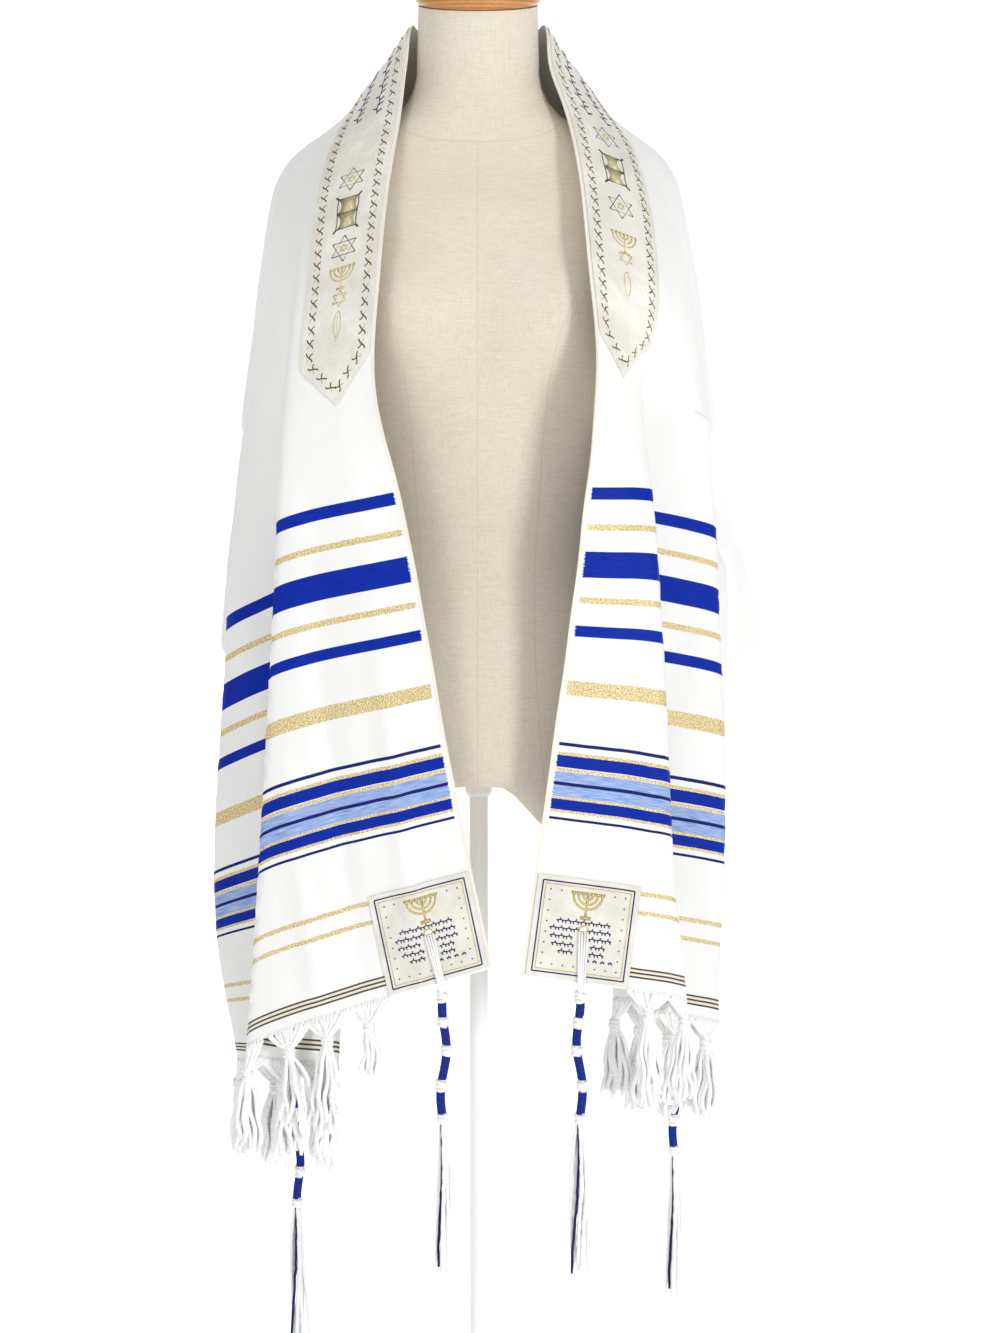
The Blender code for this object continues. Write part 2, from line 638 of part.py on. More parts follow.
def form_shape():
    """Points and faces of the dress form, from its underside to the top of its neck."""
    angles = [2 * math.pi * k / FORM_SIDES for k in range(FORM_SIDES)]
    rings = []
    for section in FORM_SECTIONS:
        ring = []
        for angle in angles:
            x = section.half_width * math.sin(angle)
            depth = section.front if math.cos(angle) > 0 else section.back
            y = -depth * math.cos(angle)
            if y < 0:
                off_x, off_z = (abs(x) - BUST_OUT) / BUST_SPREAD, (section.z - BUST_HEIGHT) / BUST_SPREAD
                y -= BUST_DEPTH * math.exp(-off_x * off_x - off_z * off_z) * math.cos(angle)
            tilt = max(0.0, (section.z - NECK_TILT_FROM) / (FORM_SECTIONS[-1].z - NECK_TILT_FROM))
            ring.append([x, y, section.z + y * NECK_TILT * tilt])
        rings.append(ring)

    def arch(x):
        share = min(max((abs(x) - ARCH_FLAT) / (ARCH_REACH - ARCH_FLAT), 0.0), 1.0)
        return UNDERSIDE_ARCH * (1 - share * share * (3 - 2 * share))

    for ring, fade in zip(rings, ARCH_FADES):
        for point in ring:
            point[2] += arch(point[0]) * fade
    inner_rings = []
    for share in UNDERSIDE_RINGS:
        ring = [[x * share, y * share] for x, y, _ in rings[0]]
        inner_rings.append([[x, y, FORM_SECTIONS[0].z + arch(x)] for x, y in ring])
    rings = inner_rings[::-1] + rings
    points = [p for ring in rings for p in ring]
    faces = []
    for i in range(len(rings) - 1):
        for k in range(FORM_SIDES):
            m = (k + 1) % FORM_SIDES
            low, high = i * FORM_SIDES, (i + 1) * FORM_SIDES
            faces.append((low + k, high + k, high + m, low + m))
    faces.append(tuple(range(FORM_SIDES)))
    faces.append(tuple((len(rings) - 1) * FORM_SIDES + k for k in range(FORM_SIDES - 1, -1, -1)))
    return points, faces


def form_tree():
    points, faces = form_shape()
    return BVHTree.FromPolygons([Vector(p) for p in points], [tuple(reversed(f)) for f in faces])


def make_turned(name, profile, foot, sides, material):
    """A solid turned about the z axis from a profile of (radius, height) pairs that stands on foot."""
    corners = [(0, profile[0][1]), *profile, (0, profile[-1][1])]
    shaped = bmesh.new()
    points = [shaped.verts.new((radius * MM, 0, (foot + height) * MM)) for radius, height in corners]
    edges = [shaped.edges.new(pair) for pair in zip(points, points[1:])]
    bmesh.ops.spin(
        shaped, geom=points + edges, cent=(0, 0, 0), axis=(0, 0, 1), angle=2 * math.pi, steps=sides
    )
    bmesh.ops.remove_doubles(shaped, verts=shaped.verts, dist=MERGE * MM)
    bmesh.ops.recalc_face_normals(shaped, faces=shaped.faces)
    mesh = bpy.data.meshes.new(name)
    shaped.to_mesh(mesh)
    shaped.free()
    mesh.materials.append(material)
    shade_round(mesh)
    made = bpy.data.objects.new(name, mesh)
    bpy.context.scene.collection.objects.link(made)
    return made


def make_stand(wood, lacquer):
    """The neck cap and a plain stand: ferrule, pole and round base."""
    cap = make_turned("neck_cap", CAP_PROFILE, 0, CAP_SIDES, wood)
    cap.data.transform(Matrix.Rotation(math.atan(NECK_TILT), 4, "X"))
    cap.data.transform(Matrix.Translation((0, 0, (FORM_SECTIONS[-1].z + REST_GAP) * MM)))
    ferrule_foot = FORM_SECTIONS[0].z + UNDERSIDE_ARCH - REST_GAP - FERRULE_HEIGHT
    ferrule = ((POLE_RADIUS + 1.5, 0), (FERRULE_RADIUS, 4), (FERRULE_RADIUS, FERRULE_HEIGHT))
    make_turned("stand_ferrule", ferrule, ferrule_foot, POLE_SIDES, lacquer)
    pole_foot = BASE_THICKNESS + REST_GAP
    pole = ((POLE_RADIUS, 0), (POLE_RADIUS, ferrule_foot - REST_GAP - pole_foot))
    make_turned("stand_pole", pole, pole_foot, POLE_SIDES, lacquer)
    base = ((BASE_RADIUS, 0), (BASE_RADIUS, BASE_THICKNESS - 5), (BASE_RADIUS - 4, BASE_THICKNESS))
    make_turned("stand_base", base, 0, BASE_SIDES, lacquer)


FORM_TREE = form_tree()


def main():
    clear_scene()
    linen = make_material("linen_covering", LINEN, 0.9)
    satin = make_material("white_satin", SATIN, 0.45)
    ivory = make_material("ivory_satin", IVORY, 0.4)
    yarn = make_material("white_yarn", YARN, 0.8)
    wood = make_material("varnished_wood", WOOD, 0.35)
    lacquer = make_material("white_lacquer", LACQUER, 0.4, 0.1)
    sheet = Sheet()
    cloth = make_cloth(sheet, satin)
    make_neckband(sheet, ivory)
    make_patches(sheet, cloth, ivory)
    for side in (-1, 1):
        make_fringe(sheet, side, yarn)
    for corner in CORNERS:
        make_tassel(sheet, corner, yarn)
    make_object("dress_form", *form_shape(), linen)
    make_stand(wood, lacquer)


main()
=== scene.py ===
# %% [markdown]
# # A tallit prayer shawl on a dress form
#
# A tallit is one long rectangle of white cloth. Here it hangs round the neck and shoulders of a
# limbless dress form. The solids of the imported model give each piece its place. This lesson makes
# the looks: the draped cloth with its woven stripes, the satin neckband and corner patches with
# their stitching, the knotted fringe, the corner tassels, and the form with its stand.

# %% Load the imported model
import math
from collections import namedtuple

import bmesh
import bpy
import numpy as np
from mathutils import Matrix, Vector
from mathutils.bvhtree import BVHTree


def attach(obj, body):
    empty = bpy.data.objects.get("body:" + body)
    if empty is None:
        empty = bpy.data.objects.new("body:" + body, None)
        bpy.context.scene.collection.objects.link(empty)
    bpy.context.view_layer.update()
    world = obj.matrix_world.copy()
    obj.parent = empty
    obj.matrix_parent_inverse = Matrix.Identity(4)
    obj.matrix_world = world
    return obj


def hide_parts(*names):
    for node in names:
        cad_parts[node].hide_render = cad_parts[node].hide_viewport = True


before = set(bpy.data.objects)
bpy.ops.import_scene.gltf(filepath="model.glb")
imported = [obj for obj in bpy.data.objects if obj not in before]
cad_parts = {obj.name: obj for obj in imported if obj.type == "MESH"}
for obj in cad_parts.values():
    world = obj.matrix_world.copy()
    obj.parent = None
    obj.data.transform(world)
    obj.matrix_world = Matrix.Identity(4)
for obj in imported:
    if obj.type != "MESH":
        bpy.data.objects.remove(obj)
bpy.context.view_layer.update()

MM = 0.001

# %% [markdown]
# ## Camera, floor and light
#
# The photograph is taken from a little above the form's bust, level with the middle, through a
# long lens that keeps the upright lines straight. The stage is a white paper sweep: a floor that
# curves up into a wall with no corner. The stronger of two softboxes stands on the right, so the
# right front of the shawl throws a soft shade on the form, just as it does in the photograph. The
# paper has a glow of its own, which is dimmer in front of the form: otherwise it would fill in
# that shade from below.

# %% Camera
CAMERA_PLACE = (0.018, -2.7, 1.30)
CAMERA_DOWN = 7.76
CAMERA_LENS = 87.5

camera = bpy.data.objects.new("camera", bpy.data.cameras.new("camera"))
camera.location = CAMERA_PLACE
camera.rotation_euler = (math.radians(90 - CAMERA_DOWN), 0, 0)
camera.data.lens = CAMERA_LENS
camera.data.sensor_width = 36
bpy.context.scene.collection.objects.link(camera)
bpy.context.scene.camera = camera
bpy.context.scene.view_settings.view_transform = "Standard"
print("camera at", CAMERA_PLACE)


# %% Colours and shader nodes
def linear(hex_colour, alpha=1.0):
    """A colour such as "#F4F4F2" as the linear light values that Blender's shaders use."""
    parts = [int(hex_colour[i : i + 2], 16) / 255 for i in (1, 3, 5)]
    return (*[p / 12.92 if p <= 0.04045 else ((p + 0.055) / 1.055) ** 2.4 for p in parts], alpha)


def new_material(name):
    """A material and its Principled shader."""
    material = bpy.data.materials.new(name)
    material.use_nodes = True
    return material, material.node_tree.nodes["Principled BSDF"]


def add_node(material, kind, settings=None, inputs=None):
    """Adds a node. Each input is a number, a colour, or the output socket of another node."""
    node = material.node_tree.nodes.new(kind)
    for name, value in (settings or {}).items():
        setattr(node, name, value)
    for name, value in (inputs or {}).items():
        if isinstance(value, bpy.types.NodeSocket):
            material.node_tree.links.new(value, node.inputs[name])
        else:
            node.inputs[name].default_value = value
    return node


def connect(material, output, socket):
    material.node_tree.links.new(output, socket)


print("white cloth in linear light:", [round(c, 3) for c in linear("#F4F4F2")])

# %% Paper sweep
SWEEP_WIDTH = 20.0
SWEEP_FRONT = -9.0
SWEEP_BACK = 7.5
SWEEP_CURVE = 1.5
SWEEP_HEIGHT = 6.0
CURVE_STEPS = 12
FLOOR_GAP = 0.0004

bpy.ops.object.select_all(action="DESELECT")
depth = SWEEP_BACK - SWEEP_FRONT
bpy.ops.mesh.primitive_plane_add(size=1, location=(0, (SWEEP_FRONT + SWEEP_BACK) / 2, -FLOOR_GAP))
sweep = bpy.context.object
sweep.name = "paper_sweep"
sweep.scale = (SWEEP_WIDTH, depth, 1)
bpy.ops.object.transform_apply(location=True, rotation=True, scale=True)
bpy.ops.object.mode_set(mode="EDIT")
bpy.ops.mesh.select_mode(type="VERT")
bpy.ops.mesh.select_all(action="DESELECT")
bpy.ops.object.mode_set(mode="OBJECT")
for vertex in sweep.data.vertices:
    vertex.select = vertex.co.y > SWEEP_BACK - 0.01
bpy.ops.object.mode_set(mode="EDIT")
for step in range(CURVE_STEPS):
    angle = (step + 0.5) * math.pi / 2 / CURVE_STEPS
    length = SWEEP_CURVE * math.pi / 2 / CURVE_STEPS
    move = (0, length * math.cos(angle), length * math.sin(angle))
    bpy.ops.mesh.extrude_region_move(TRANSFORM_OT_translate={"value": move})
bpy.ops.mesh.extrude_region_move(TRANSFORM_OT_translate={"value": (0, 0, SWEEP_HEIGHT)})
bpy.ops.object.mode_set(mode="OBJECT")
bpy.ops.object.shade_smooth()

# Matt white background paper. A little light of its own keeps the cut-out whiteness of the
# photograph. It glows less in front of and under the form, so that little light comes up from below.
paper, paper_shader = new_material("matt white background paper")
paper_shader.inputs["Base Color"].default_value = linear("#F6F6F6")
paper_shader.inputs["Roughness"].default_value = 0.95
paper_shader.inputs["Specular IOR Level"].default_value = 0.1
paper_shader.inputs["Emission Color"].default_value = linear("#FFFFFF")
ground = add_node(paper, "ShaderNodeTexCoord").outputs["Object"]
parts = add_node(paper, "ShaderNodeSeparateXYZ", inputs={0: ground})
glow = add_node(paper, "ShaderNodeMapRange", inputs={"Value": parts.outputs["Y"], 1: 0.2, 2: 0.9, 3: 0.48, 4: 0.82})
connect(paper, glow.outputs[0], paper_shader.inputs["Emission Strength"])
sweep.data.materials.append(paper)
print("paper sweep:", len(sweep.data.polygons), "faces")

# %% Softboxes
Softbox = namedtuple("Softbox", "name width height place aim power")

SOFTBOXES = (
    Softbox("right_softbox", 0.6, 1.2, (2.1, -2.6, 1.6), (0, 0, 1.1), 43),
    Softbox("left_softbox", 0.8, 1.2, (-1.5, -3.0, 1.9), (0, 0, 1.15), 15.5),
    Softbox("top_softbox", 1.6, 1.6, (-0.3, -0.6, 3.2), (0, 0, 1.0), 13),
)

for box in SOFTBOXES:
    lamp = bpy.data.lights.new(box.name, "AREA")
    lamp.shape = "RECTANGLE"
    lamp.size = box.width
    lamp.size_y = box.height
    lamp.energy = box.power
    holder = bpy.data.objects.new(box.name, lamp)
    holder.location = box.place
    holder.rotation_euler = (Vector(box.aim) - Vector(box.place)).to_track_quat("-Z", "Y").to_euler()
    bpy.context.scene.collection.objects.link(holder)

world = bpy.data.worlds.new("white studio")
world.use_nodes = True
world.node_tree.nodes["Background"].inputs["Color"].default_value = linear("#FFFFFF")
world.node_tree.nodes["Background"].inputs["Strength"].default_value = 0.34
bpy.context.scene.world = world
print("softboxes:", len(SOFTBOXES))


# %% [markdown]
# ## The dress form's shape
#
# The form is a padded shell covered in linen canvas. Its shape could be lofted from drawings, but
# it is quicker to extrude a ring of points upward, level by level, and then set each ring's width
# and depth from a short table of measurements, as a tailor would note them. A bump on the front
# half makes the bust, and the rings near the top lean a little for the neck.

# %% Form measurements
FormSection = namedtuple("FormSection", "z half_width front back")

FORM_SECTIONS = (
    FormSection(806, 148, 98, 108),
    FormSection(824, 153, 103, 113),
    FormSection(858, 154, 104, 116),
    FormSection(910, 146, 100, 110),
    FormSection(965, 130, 92, 98),
    FormSection(1036, 110, 82, 84),
    FormSection(1090, 117, 88, 88),
    FormSection(1142, 128, 94, 95),
    FormSection(1176, 136, 98, 100),
    FormSection(1204, 141, 100, 104),
    FormSection(1232, 146, 100, 106),
    FormSection(1262, 151, 96, 106),
    FormSection(1292, 156, 86, 103),
    FormSection(1322, 156, 74, 92),
    FormSection(1340, 146, 62, 78),
    FormSection(1358, 120, 54, 66),
    FormSection(1374, 92, 50, 57),
    FormSection(1390, 66, 49, 52),
    FormSection(1410, 53, 48, 50),
    FormSection(1440, 50, 48, 49),
    FormSection(1478, 49, 48, 48),
)
BUST_OUT, BUST_HEIGHT, BUST_DEPTH, BUST_SPREAD = 76, 1226, 30, 52
UNDERSIDE_ARCH, ARCH_FLAT, ARCH_REACH = 40, 16, 66
NECK_TILT_FROM, NECK_TILT = 1400, 0.16
FORM_SIDES = 96
LEVEL_STEP = 11.0
FORM_FOOT, FORM_TOP = FORM_SECTIONS[0].z, FORM_SECTIONS[-1].z


def smooth_between(stations, values, x):
    """values at the stations, read at x from a smooth curve through them."""
    i = min(max(int(np.searchsorted(stations, x, side="right")) - 1, 0), len(stations) - 2)
    step = stations[i + 1] - stations[i]
    slopes = np.diff(values, axis=0) / np.diff(stations).reshape(-1, *[1] * (np.ndim(values) - 1))

    def slope_at(k):
        if k == 0 or k == len(stations) - 1:
            return slopes[min(k, len(slopes) - 1)]
        before, after = stations[k] - stations[k - 1], stations[k + 1] - stations[k]
        return (slopes[k - 1] * after + slopes[k] * before) / (before + after)

    return hermite(values[i], values[i + 1], slope_at(i) * step, slope_at(i + 1) * step, (x - stations[i]) / step)


def hermite(p, q, tangent_p, tangent_q, t):
    """The point at share t of a cubic from p to q with these end tangents."""
    start, end = 2 * t**3 - 3 * t**2 + 1, 3 * t**2 - 2 * t**3
    return p * start + tangent_p * (t**3 - 2 * t**2 + t) + q * end + tangent_q * (t**3 - t**2)


FORM_LEVELS = np.array([s.z for s in FORM_SECTIONS], float)
FORM_SIZES = np.array([s[1:] for s in FORM_SECTIONS], float)


def form_point(angle, z):
    """A point of the form's surface in mm. angle 0 is the front."""
    half_width, front, back = smooth_between(FORM_LEVELS, FORM_SIZES, z)
    x = half_width * math.sin(angle)
    y = -(front if math.cos(angle) > 0 else back) * math.cos(angle)
    if y < 0:
        off_x, off_z = (abs(x) - BUST_OUT) / BUST_SPREAD, (z - BUST_HEIGHT) / BUST_SPREAD
        y -= BUST_DEPTH * math.exp(-off_x * off_x - off_z * off_z) * math.cos(angle)
    tilt = max(0.0, (z - NECK_TILT_FROM) / (FORM_TOP - NECK_TILT_FROM))
    return x, y, z + y * NECK_TILT * tilt


def underside_arch(x):
    share = min(max((abs(x) - ARCH_FLAT) / (ARCH_REACH - ARCH_FLAT), 0.0), 1.0)
    return UNDERSIDE_ARCH * (1 - share * share * (3 - 2 * share))


print("waist is", 2 * FORM_SECTIONS[5].half_width, "mm wide")

# %% Extrude the form level by level
UNDERSIDE_RINGS = (0.85, 0.62, 0.4, 0.2, 0.08)
ARCH_FADE = 58.0

bpy.ops.object.select_all(action="DESELECT")
bpy.ops.mesh.primitive_circle_add(vertices=FORM_SIDES, radius=1.0, location=(0, 0, 0))
form = bpy.context.object
form.name = "linen_form"
levels = np.linspace(FORM_FOOT, FORM_TOP, int((FORM_TOP - FORM_FOOT) / LEVEL_STEP)) * MM
bpy.ops.object.mode_set(mode="EDIT")
bpy.ops.mesh.select_mode(type="VERT")
bpy.ops.mesh.select_all(action="SELECT")
bpy.ops.transform.translate(value=(0, 0, levels[0]))
for low, high in zip(levels, levels[1:]):
    bpy.ops.mesh.extrude_region_move(TRANSFORM_OT_translate={"value": (0, 0, high - low)})
bpy.ops.mesh.edge_face_add()
bpy.ops.mesh.select_all(action="DESELECT")
bpy.ops.object.mode_set(mode="OBJECT")
for vertex in form.data.vertices:
    vertex.select = vertex.co.z < levels[0] + 0.001
bpy.ops.object.mode_set(mode="EDIT")
size = 1.0
for share in UNDERSIDE_RINGS:
    bpy.ops.mesh.extrude_region_move()
    bpy.ops.transform.resize(value=(share / size, share / size, 1), center_override=(0, 0, levels[0]))
    size = share
bpy.ops.mesh.edge_face_add()
bpy.ops.mesh.select_all(action="SELECT")
bpy.ops.mesh.normals_make_consistent(inside=False)
bpy.ops.object.mode_set(mode="OBJECT")
print("rough column:", len(form.data.vertices), "points")

# %% Shape the rings from the table
for vertex in form.data.vertices:
    share = math.hypot(vertex.co.x, vertex.co.y)
    z = vertex.co.z / MM
    x, y, height = form_point(math.atan2(vertex.co.x, -vertex.co.y), min(max(z, FORM_FOOT), FORM_TOP))
    if share < 0.99:
        height = FORM_FOOT + underside_arch(x * share)
    else:
        share = 1.0
        height += underside_arch(x) * max(0.0, 1 - (z - FORM_FOOT) / ARCH_FADE)
    vertex.co = Vector((x * share, y * share, height)) * MM

bpy.ops.object.shade_smooth_by_angle(angle=math.radians(40))
form_points = [vertex.co / MM for vertex in form.data.vertices]
form_tree = BVHTree.FromPolygons(form_points, [tuple(face.vertices) for face in form.data.polygons])
print("form:", len(form.data.polygons), "faces, top at", round(max(p.z for p in form_points)), "mm")


# %% [markdown]
# ## Linen canvas
#
# The covering is unbleached linen in a plain weave: every thread is a little thicker here and
# thinner there, which linen weavers call slubs. Two wave textures cross for warp and weft, and
# stretched noise gives the slubs. Real threads are about 0.6 mm apart. In the picture that would
# be lost, so they are drawn 1.3 mm apart. The sewn seams are thin grooves: one down the middle of
# the front, two curved ones over the bust, and one round the base of the neck.

# %% Linen material
LINEN_THREAD_MM = 1.3
SEAM_WIDTH = 0.0005
NECK_SEAM_HEIGHT, NECK_SEAM_SLOPE = 1.400, 0.65
# The curved seams' distance from the middle, at heights from the hip to the armhole, in metres.
PRINCESS_SEAM = ((0.80, 0.060), (0.9, 0.050), (1.0, 0.046), (1.08, 0.050), (1.15, 0.055), (1.2, 0.062),
                 (1.235, 0.074), (1.262, 0.093), (1.285, 0.120), (1.31, 0.155))
SEAM_FOOT, SEAM_RISE, SEAM_OUT = 0.80, 0.51, 0.20

linen, linen_shader = new_material("unbleached linen canvas")
place = add_node(linen, "ShaderNodeTexCoord").outputs["Object"]
warp = add_node(linen, "ShaderNodeTexWave", {"bands_direction": "X"}, {
    "Vector": place, "Scale": 0.314 / (LINEN_THREAD_MM * MM), "Distortion": 0.6, "Detail": 1.0,
    "Detail Scale": 2.0})
weft = add_node(linen, "ShaderNodeTexWave", {"bands_direction": "Z"}, {
    "Vector": place, "Scale": 0.314 / (LINEN_THREAD_MM * MM), "Distortion": 0.6, "Detail": 1.0,
    "Detail Scale": 2.0})
weave = add_node(linen, "ShaderNodeMath", {"operation": "ADD"}, {0: warp.outputs["Fac"], 1: weft.outputs["Fac"]})
tall = add_node(linen, "ShaderNodeMapping", inputs={"Vector": place, "Scale": (1100, 1100, 90)})
wide = add_node(linen, "ShaderNodeMapping", inputs={"Vector": place, "Scale": (90, 90, 1100)})
tall_slubs = add_node(linen, "ShaderNodeTexNoise", inputs={"Vector": tall.outputs[0], "Scale": 1.0, "Detail": 2.0})
wide_slubs = add_node(linen, "ShaderNodeTexNoise", inputs={"Vector": wide.outputs[0], "Scale": 1.0, "Detail": 2.0})
slubs = add_node(linen, "ShaderNodeMath", {"operation": "MULTIPLY"}, {
    0: tall_slubs.outputs["Fac"], 1: wide_slubs.outputs["Fac"]})
stains = add_node(linen, "ShaderNodeTexNoise", inputs={"Vector": place, "Scale": 9.0, "Detail": 3.0})

tone = add_node(linen, "ShaderNodeValToRGB", inputs={"Fac": slubs.outputs[0]})
tone.color_ramp.elements[0].position = 0.10
tone.color_ramp.elements[0].color = linear("#DCD4C3")
tone.color_ramp.elements[1].position = 0.32
tone.color_ramp.elements[1].color = linear("#E8E1D3")
aged = add_node(linen, "ShaderNodeMix", {"data_type": "RGBA", "blend_type": "MULTIPLY"}, {
    0: stains.outputs["Fac"], 6: tone.outputs["Color"], 7: linear("#F7F1E6")})
print("linen threads drawn", LINEN_THREAD_MM, "mm apart")

# %% Seams on the linen
parts = add_node(linen, "ShaderNodeSeparateXYZ", inputs={0: place})
out = add_node(linen, "ShaderNodeMath", {"operation": "ABSOLUTE"}, {0: parts.outputs["X"]}).outputs[0]
rise = add_node(linen, "ShaderNodeMapRange", inputs={
    "Value": parts.outputs["Z"], 1: SEAM_FOOT, 2: SEAM_FOOT + SEAM_RISE})
curve = add_node(linen, "ShaderNodeFloatCurve", inputs={"Value": rise.outputs[0]})
shares = [((height - SEAM_FOOT) / SEAM_RISE, distance / SEAM_OUT) for height, distance in PRINCESS_SEAM]
for share in shares[1:-1]:
    curve.mapping.curves[0].points.new(*share)
curve.mapping.curves[0].points[0].location = shares[0]
curve.mapping.curves[0].points[-1].location = shares[-1]
curve.mapping.update()
seam_out = add_node(linen, "ShaderNodeMath", {"operation": "MULTIPLY"}, {0: curve.outputs[0], 1: SEAM_OUT})
princess = add_node(linen, "ShaderNodeMath", {"operation": "COMPARE"}, {
    0: out, 1: seam_out.outputs[0], 2: SEAM_WIDTH})
middle = add_node(linen, "ShaderNodeMath", {"operation": "LESS_THAN"}, {0: out, 1: SEAM_WIDTH})
neck_plane = add_node(linen, "ShaderNodeMath", {"operation": "MULTIPLY_ADD"}, {
    0: parts.outputs["Y"], 1: -NECK_SEAM_SLOPE, 2: parts.outputs["Z"]})
neck = add_node(linen, "ShaderNodeMath", {"operation": "COMPARE"}, {
    0: neck_plane.outputs[0], 1: NECK_SEAM_HEIGHT, 2: SEAM_WIDTH})
below_neck = add_node(linen, "ShaderNodeMath", {"operation": "LESS_THAN"}, {
    0: neck_plane.outputs[0], 1: NECK_SEAM_HEIGHT})
body_seams = add_node(linen, "ShaderNodeMath", {"operation": "MAXIMUM"}, {
    0: princess.outputs[0], 1: middle.outputs[0]})
body_seams = add_node(linen, "ShaderNodeMath", {"operation": "MULTIPLY"}, {
    0: body_seams.outputs[0], 1: below_neck.outputs[0]})
seams = add_node(linen, "ShaderNodeMath", {"operation": "MAXIMUM"}, {0: body_seams.outputs[0], 1: neck.outputs[0]})

sewn = add_node(linen, "ShaderNodeMix", {"data_type": "RGBA"}, {
    0: seams.outputs[0], 6: aged.outputs[2], 7: linear("#D9CFB9")})
relief = add_node(linen, "ShaderNodeMath", {"operation": "MULTIPLY_ADD"}, {
    0: slubs.outputs[0], 1: 1.5, 2: weave.outputs[0]})
relief = add_node(linen, "ShaderNodeMath", {"operation": "MULTIPLY_ADD"}, {
    0: seams.outputs[0], 1: -2.0, 2: relief.outputs[0]})
bump = add_node(linen, "ShaderNodeBump", inputs={"Height": relief.outputs[0], "Strength": 0.15, "Distance": 0.0004})
connect(linen, sewn.outputs[2], linen_shader.inputs["Base Color"])
connect(linen, bump.outputs[0], linen_shader.inputs["Normal"])
linen_shader.inputs["Roughness"].default_value = 0.88
linen_shader.inputs["Specular IOR Level"].default_value = 0.25
linen_shader.inputs["Sheen Weight"].default_value = 0.12
form.data.materials.append(linen)


def settle(piece, slot, *nodes):
    """The piece rides with the model and stands for these solids. slot is not used."""
    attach(piece, "root")
    if nodes:
        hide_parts(*nodes)
    piece.data.calc_loop_triangles()
    print(piece.name, len(piece.data.loop_triangles), "triangles")


settle(form, "linen_covering", "dress_form")

# %% [markdown]
# ## Turned cap, ferrule and stand
#
# The neck is closed by a turned wooden cap. Below the form a small steel ferrule takes the pole
# of the stand, which has a round base. All three are lacquered white. Each is turned about one axis, so each starts as
# a disc that is extruded upward and resized, step by step along its profile, and a bevel then
# rounds the arrises.

# %% Turn a piece along its profile
CAP_PROFILE = ((48, 0), (52, 4), (52, 14), (46, 18), (22, 24), (12, 30), (13, 44), (6, 50))
CAP_HEIGHT = 1478.3
UNDER_FORM = FORM_FOOT + UNDERSIDE_ARCH - 0.3
FERRULE_PROFILE = ((9.5, 0), (11.5, 4), (11.5, 24))
POLE_RADIUS = 8
BASE_PROFILE = ((170, 0), (170, 7), (166, 12))


def turned(name, profile, foot, sides, rounding):
    """A solid of revolution from (radius, height) pairs in mm, with its foot at this height."""
    bpy.ops.object.select_all(action="DESELECT")
    radius, height = profile[0]
    bpy.ops.mesh.primitive_circle_add(
        vertices=sides, radius=radius * MM, fill_type="NGON", location=(0, 0, (foot + height) * MM)
    )
    piece = bpy.context.object
    piece.name = name
    bpy.ops.object.transform_apply(location=True, rotation=True, scale=True)
    bpy.ops.object.mode_set(mode="EDIT")
    bpy.ops.mesh.select_all(action="SELECT")
    for (r1, z1), (r2, z2) in zip(profile, profile[1:]):
        bpy.ops.mesh.extrude_region_move(TRANSFORM_OT_translate={"value": (0, 0, (z2 - z1) * MM)})
        bpy.ops.transform.resize(value=(r2 / r1, r2 / r1, 1), center_override=(0, 0, (foot + z2) * MM))
    bpy.ops.mesh.select_all(action="SELECT")
    bpy.ops.mesh.normals_make_consistent(inside=False)
    bpy.ops.object.mode_set(mode="OBJECT")
    bevel = piece.modifiers.new("rounded arrises", "BEVEL")
    bevel.width = rounding * MM
    bevel.segments = 4
    bevel.limit_method = "ANGLE"
    bevel.angle_limit = math.radians(20)
    bpy.ops.object.modifier_apply(modifier=bevel.name)
    bpy.ops.object.shade_smooth_by_angle(angle=math.radians(35))
    return piece


cap = turned("turned_cap", CAP_PROFILE, 0, 64, 1.6)
cap.data.transform(Matrix.Translation((0, 0, CAP_HEIGHT * MM)) @ Matrix.Rotation(math.atan(NECK_TILT), 4, "X"))
ferrule = turned("lacquered_ferrule", FERRULE_PROFILE, UNDER_FORM - FERRULE_PROFILE[-1][1], 48, 0.8)
pole_top = UNDER_FORM - FERRULE_PROFILE[-1][1] - 0.3
pole = turned("lacquered_pole", ((POLE_RADIUS, 12.3), (POLE_RADIUS, pole_top)), 0, 40, 0.6)
base = turned("lacquered_base", BASE_PROFILE, 0, 96, 1.4)
print("turned pieces:", [piece.name for piece in (cap, ferrule, pole, base)])

# %% [markdown]
# ## Varnished wood and white lacquer
#
# The cap is a pale hardwood under an amber varnish. Its rings are a wave texture round the x axis,
# bent by noise, with a clear coat on top for the gloss. The stand is steel with a baked white
# lacquer: nearly smooth, with the faint orange-peel ripple that spraying leaves.

# %% Wood material
GRAIN_MM = 3.2

wood, wood_shader = new_material("varnished turned hardwood")
place = add_node(wood, "ShaderNodeTexCoord").outputs["Object"]
stretched = add_node(wood, "ShaderNodeMapping", inputs={"Vector": place, "Scale": (0.25, 1, 1)})
rings = add_node(wood, "ShaderNodeTexWave", {"bands_direction": "Z"}, {
    "Vector": stretched.outputs[0], "Scale": 0.314 / (GRAIN_MM * MM), "Distortion": 3.5, "Detail": 3.0,
    "Detail Scale": 18.0})
fibres = add_node(wood, "ShaderNodeMapping", inputs={"Vector": place, "Scale": (60, 1400, 1400)})
fibres = add_node(wood, "ShaderNodeTexNoise", inputs={"Vector": fibres.outputs[0], "Scale": 1.0, "Detail": 3.0})
grain = add_node(wood, "ShaderNodeMix", inputs={0: 0.35, 2: rings.outputs["Fac"], 3: fibres.outputs["Fac"]})
tone = add_node(wood, "ShaderNodeValToRGB", inputs={"Fac": grain.outputs[0]})
tone.color_ramp.elements[0].color = linear("#A8672B")
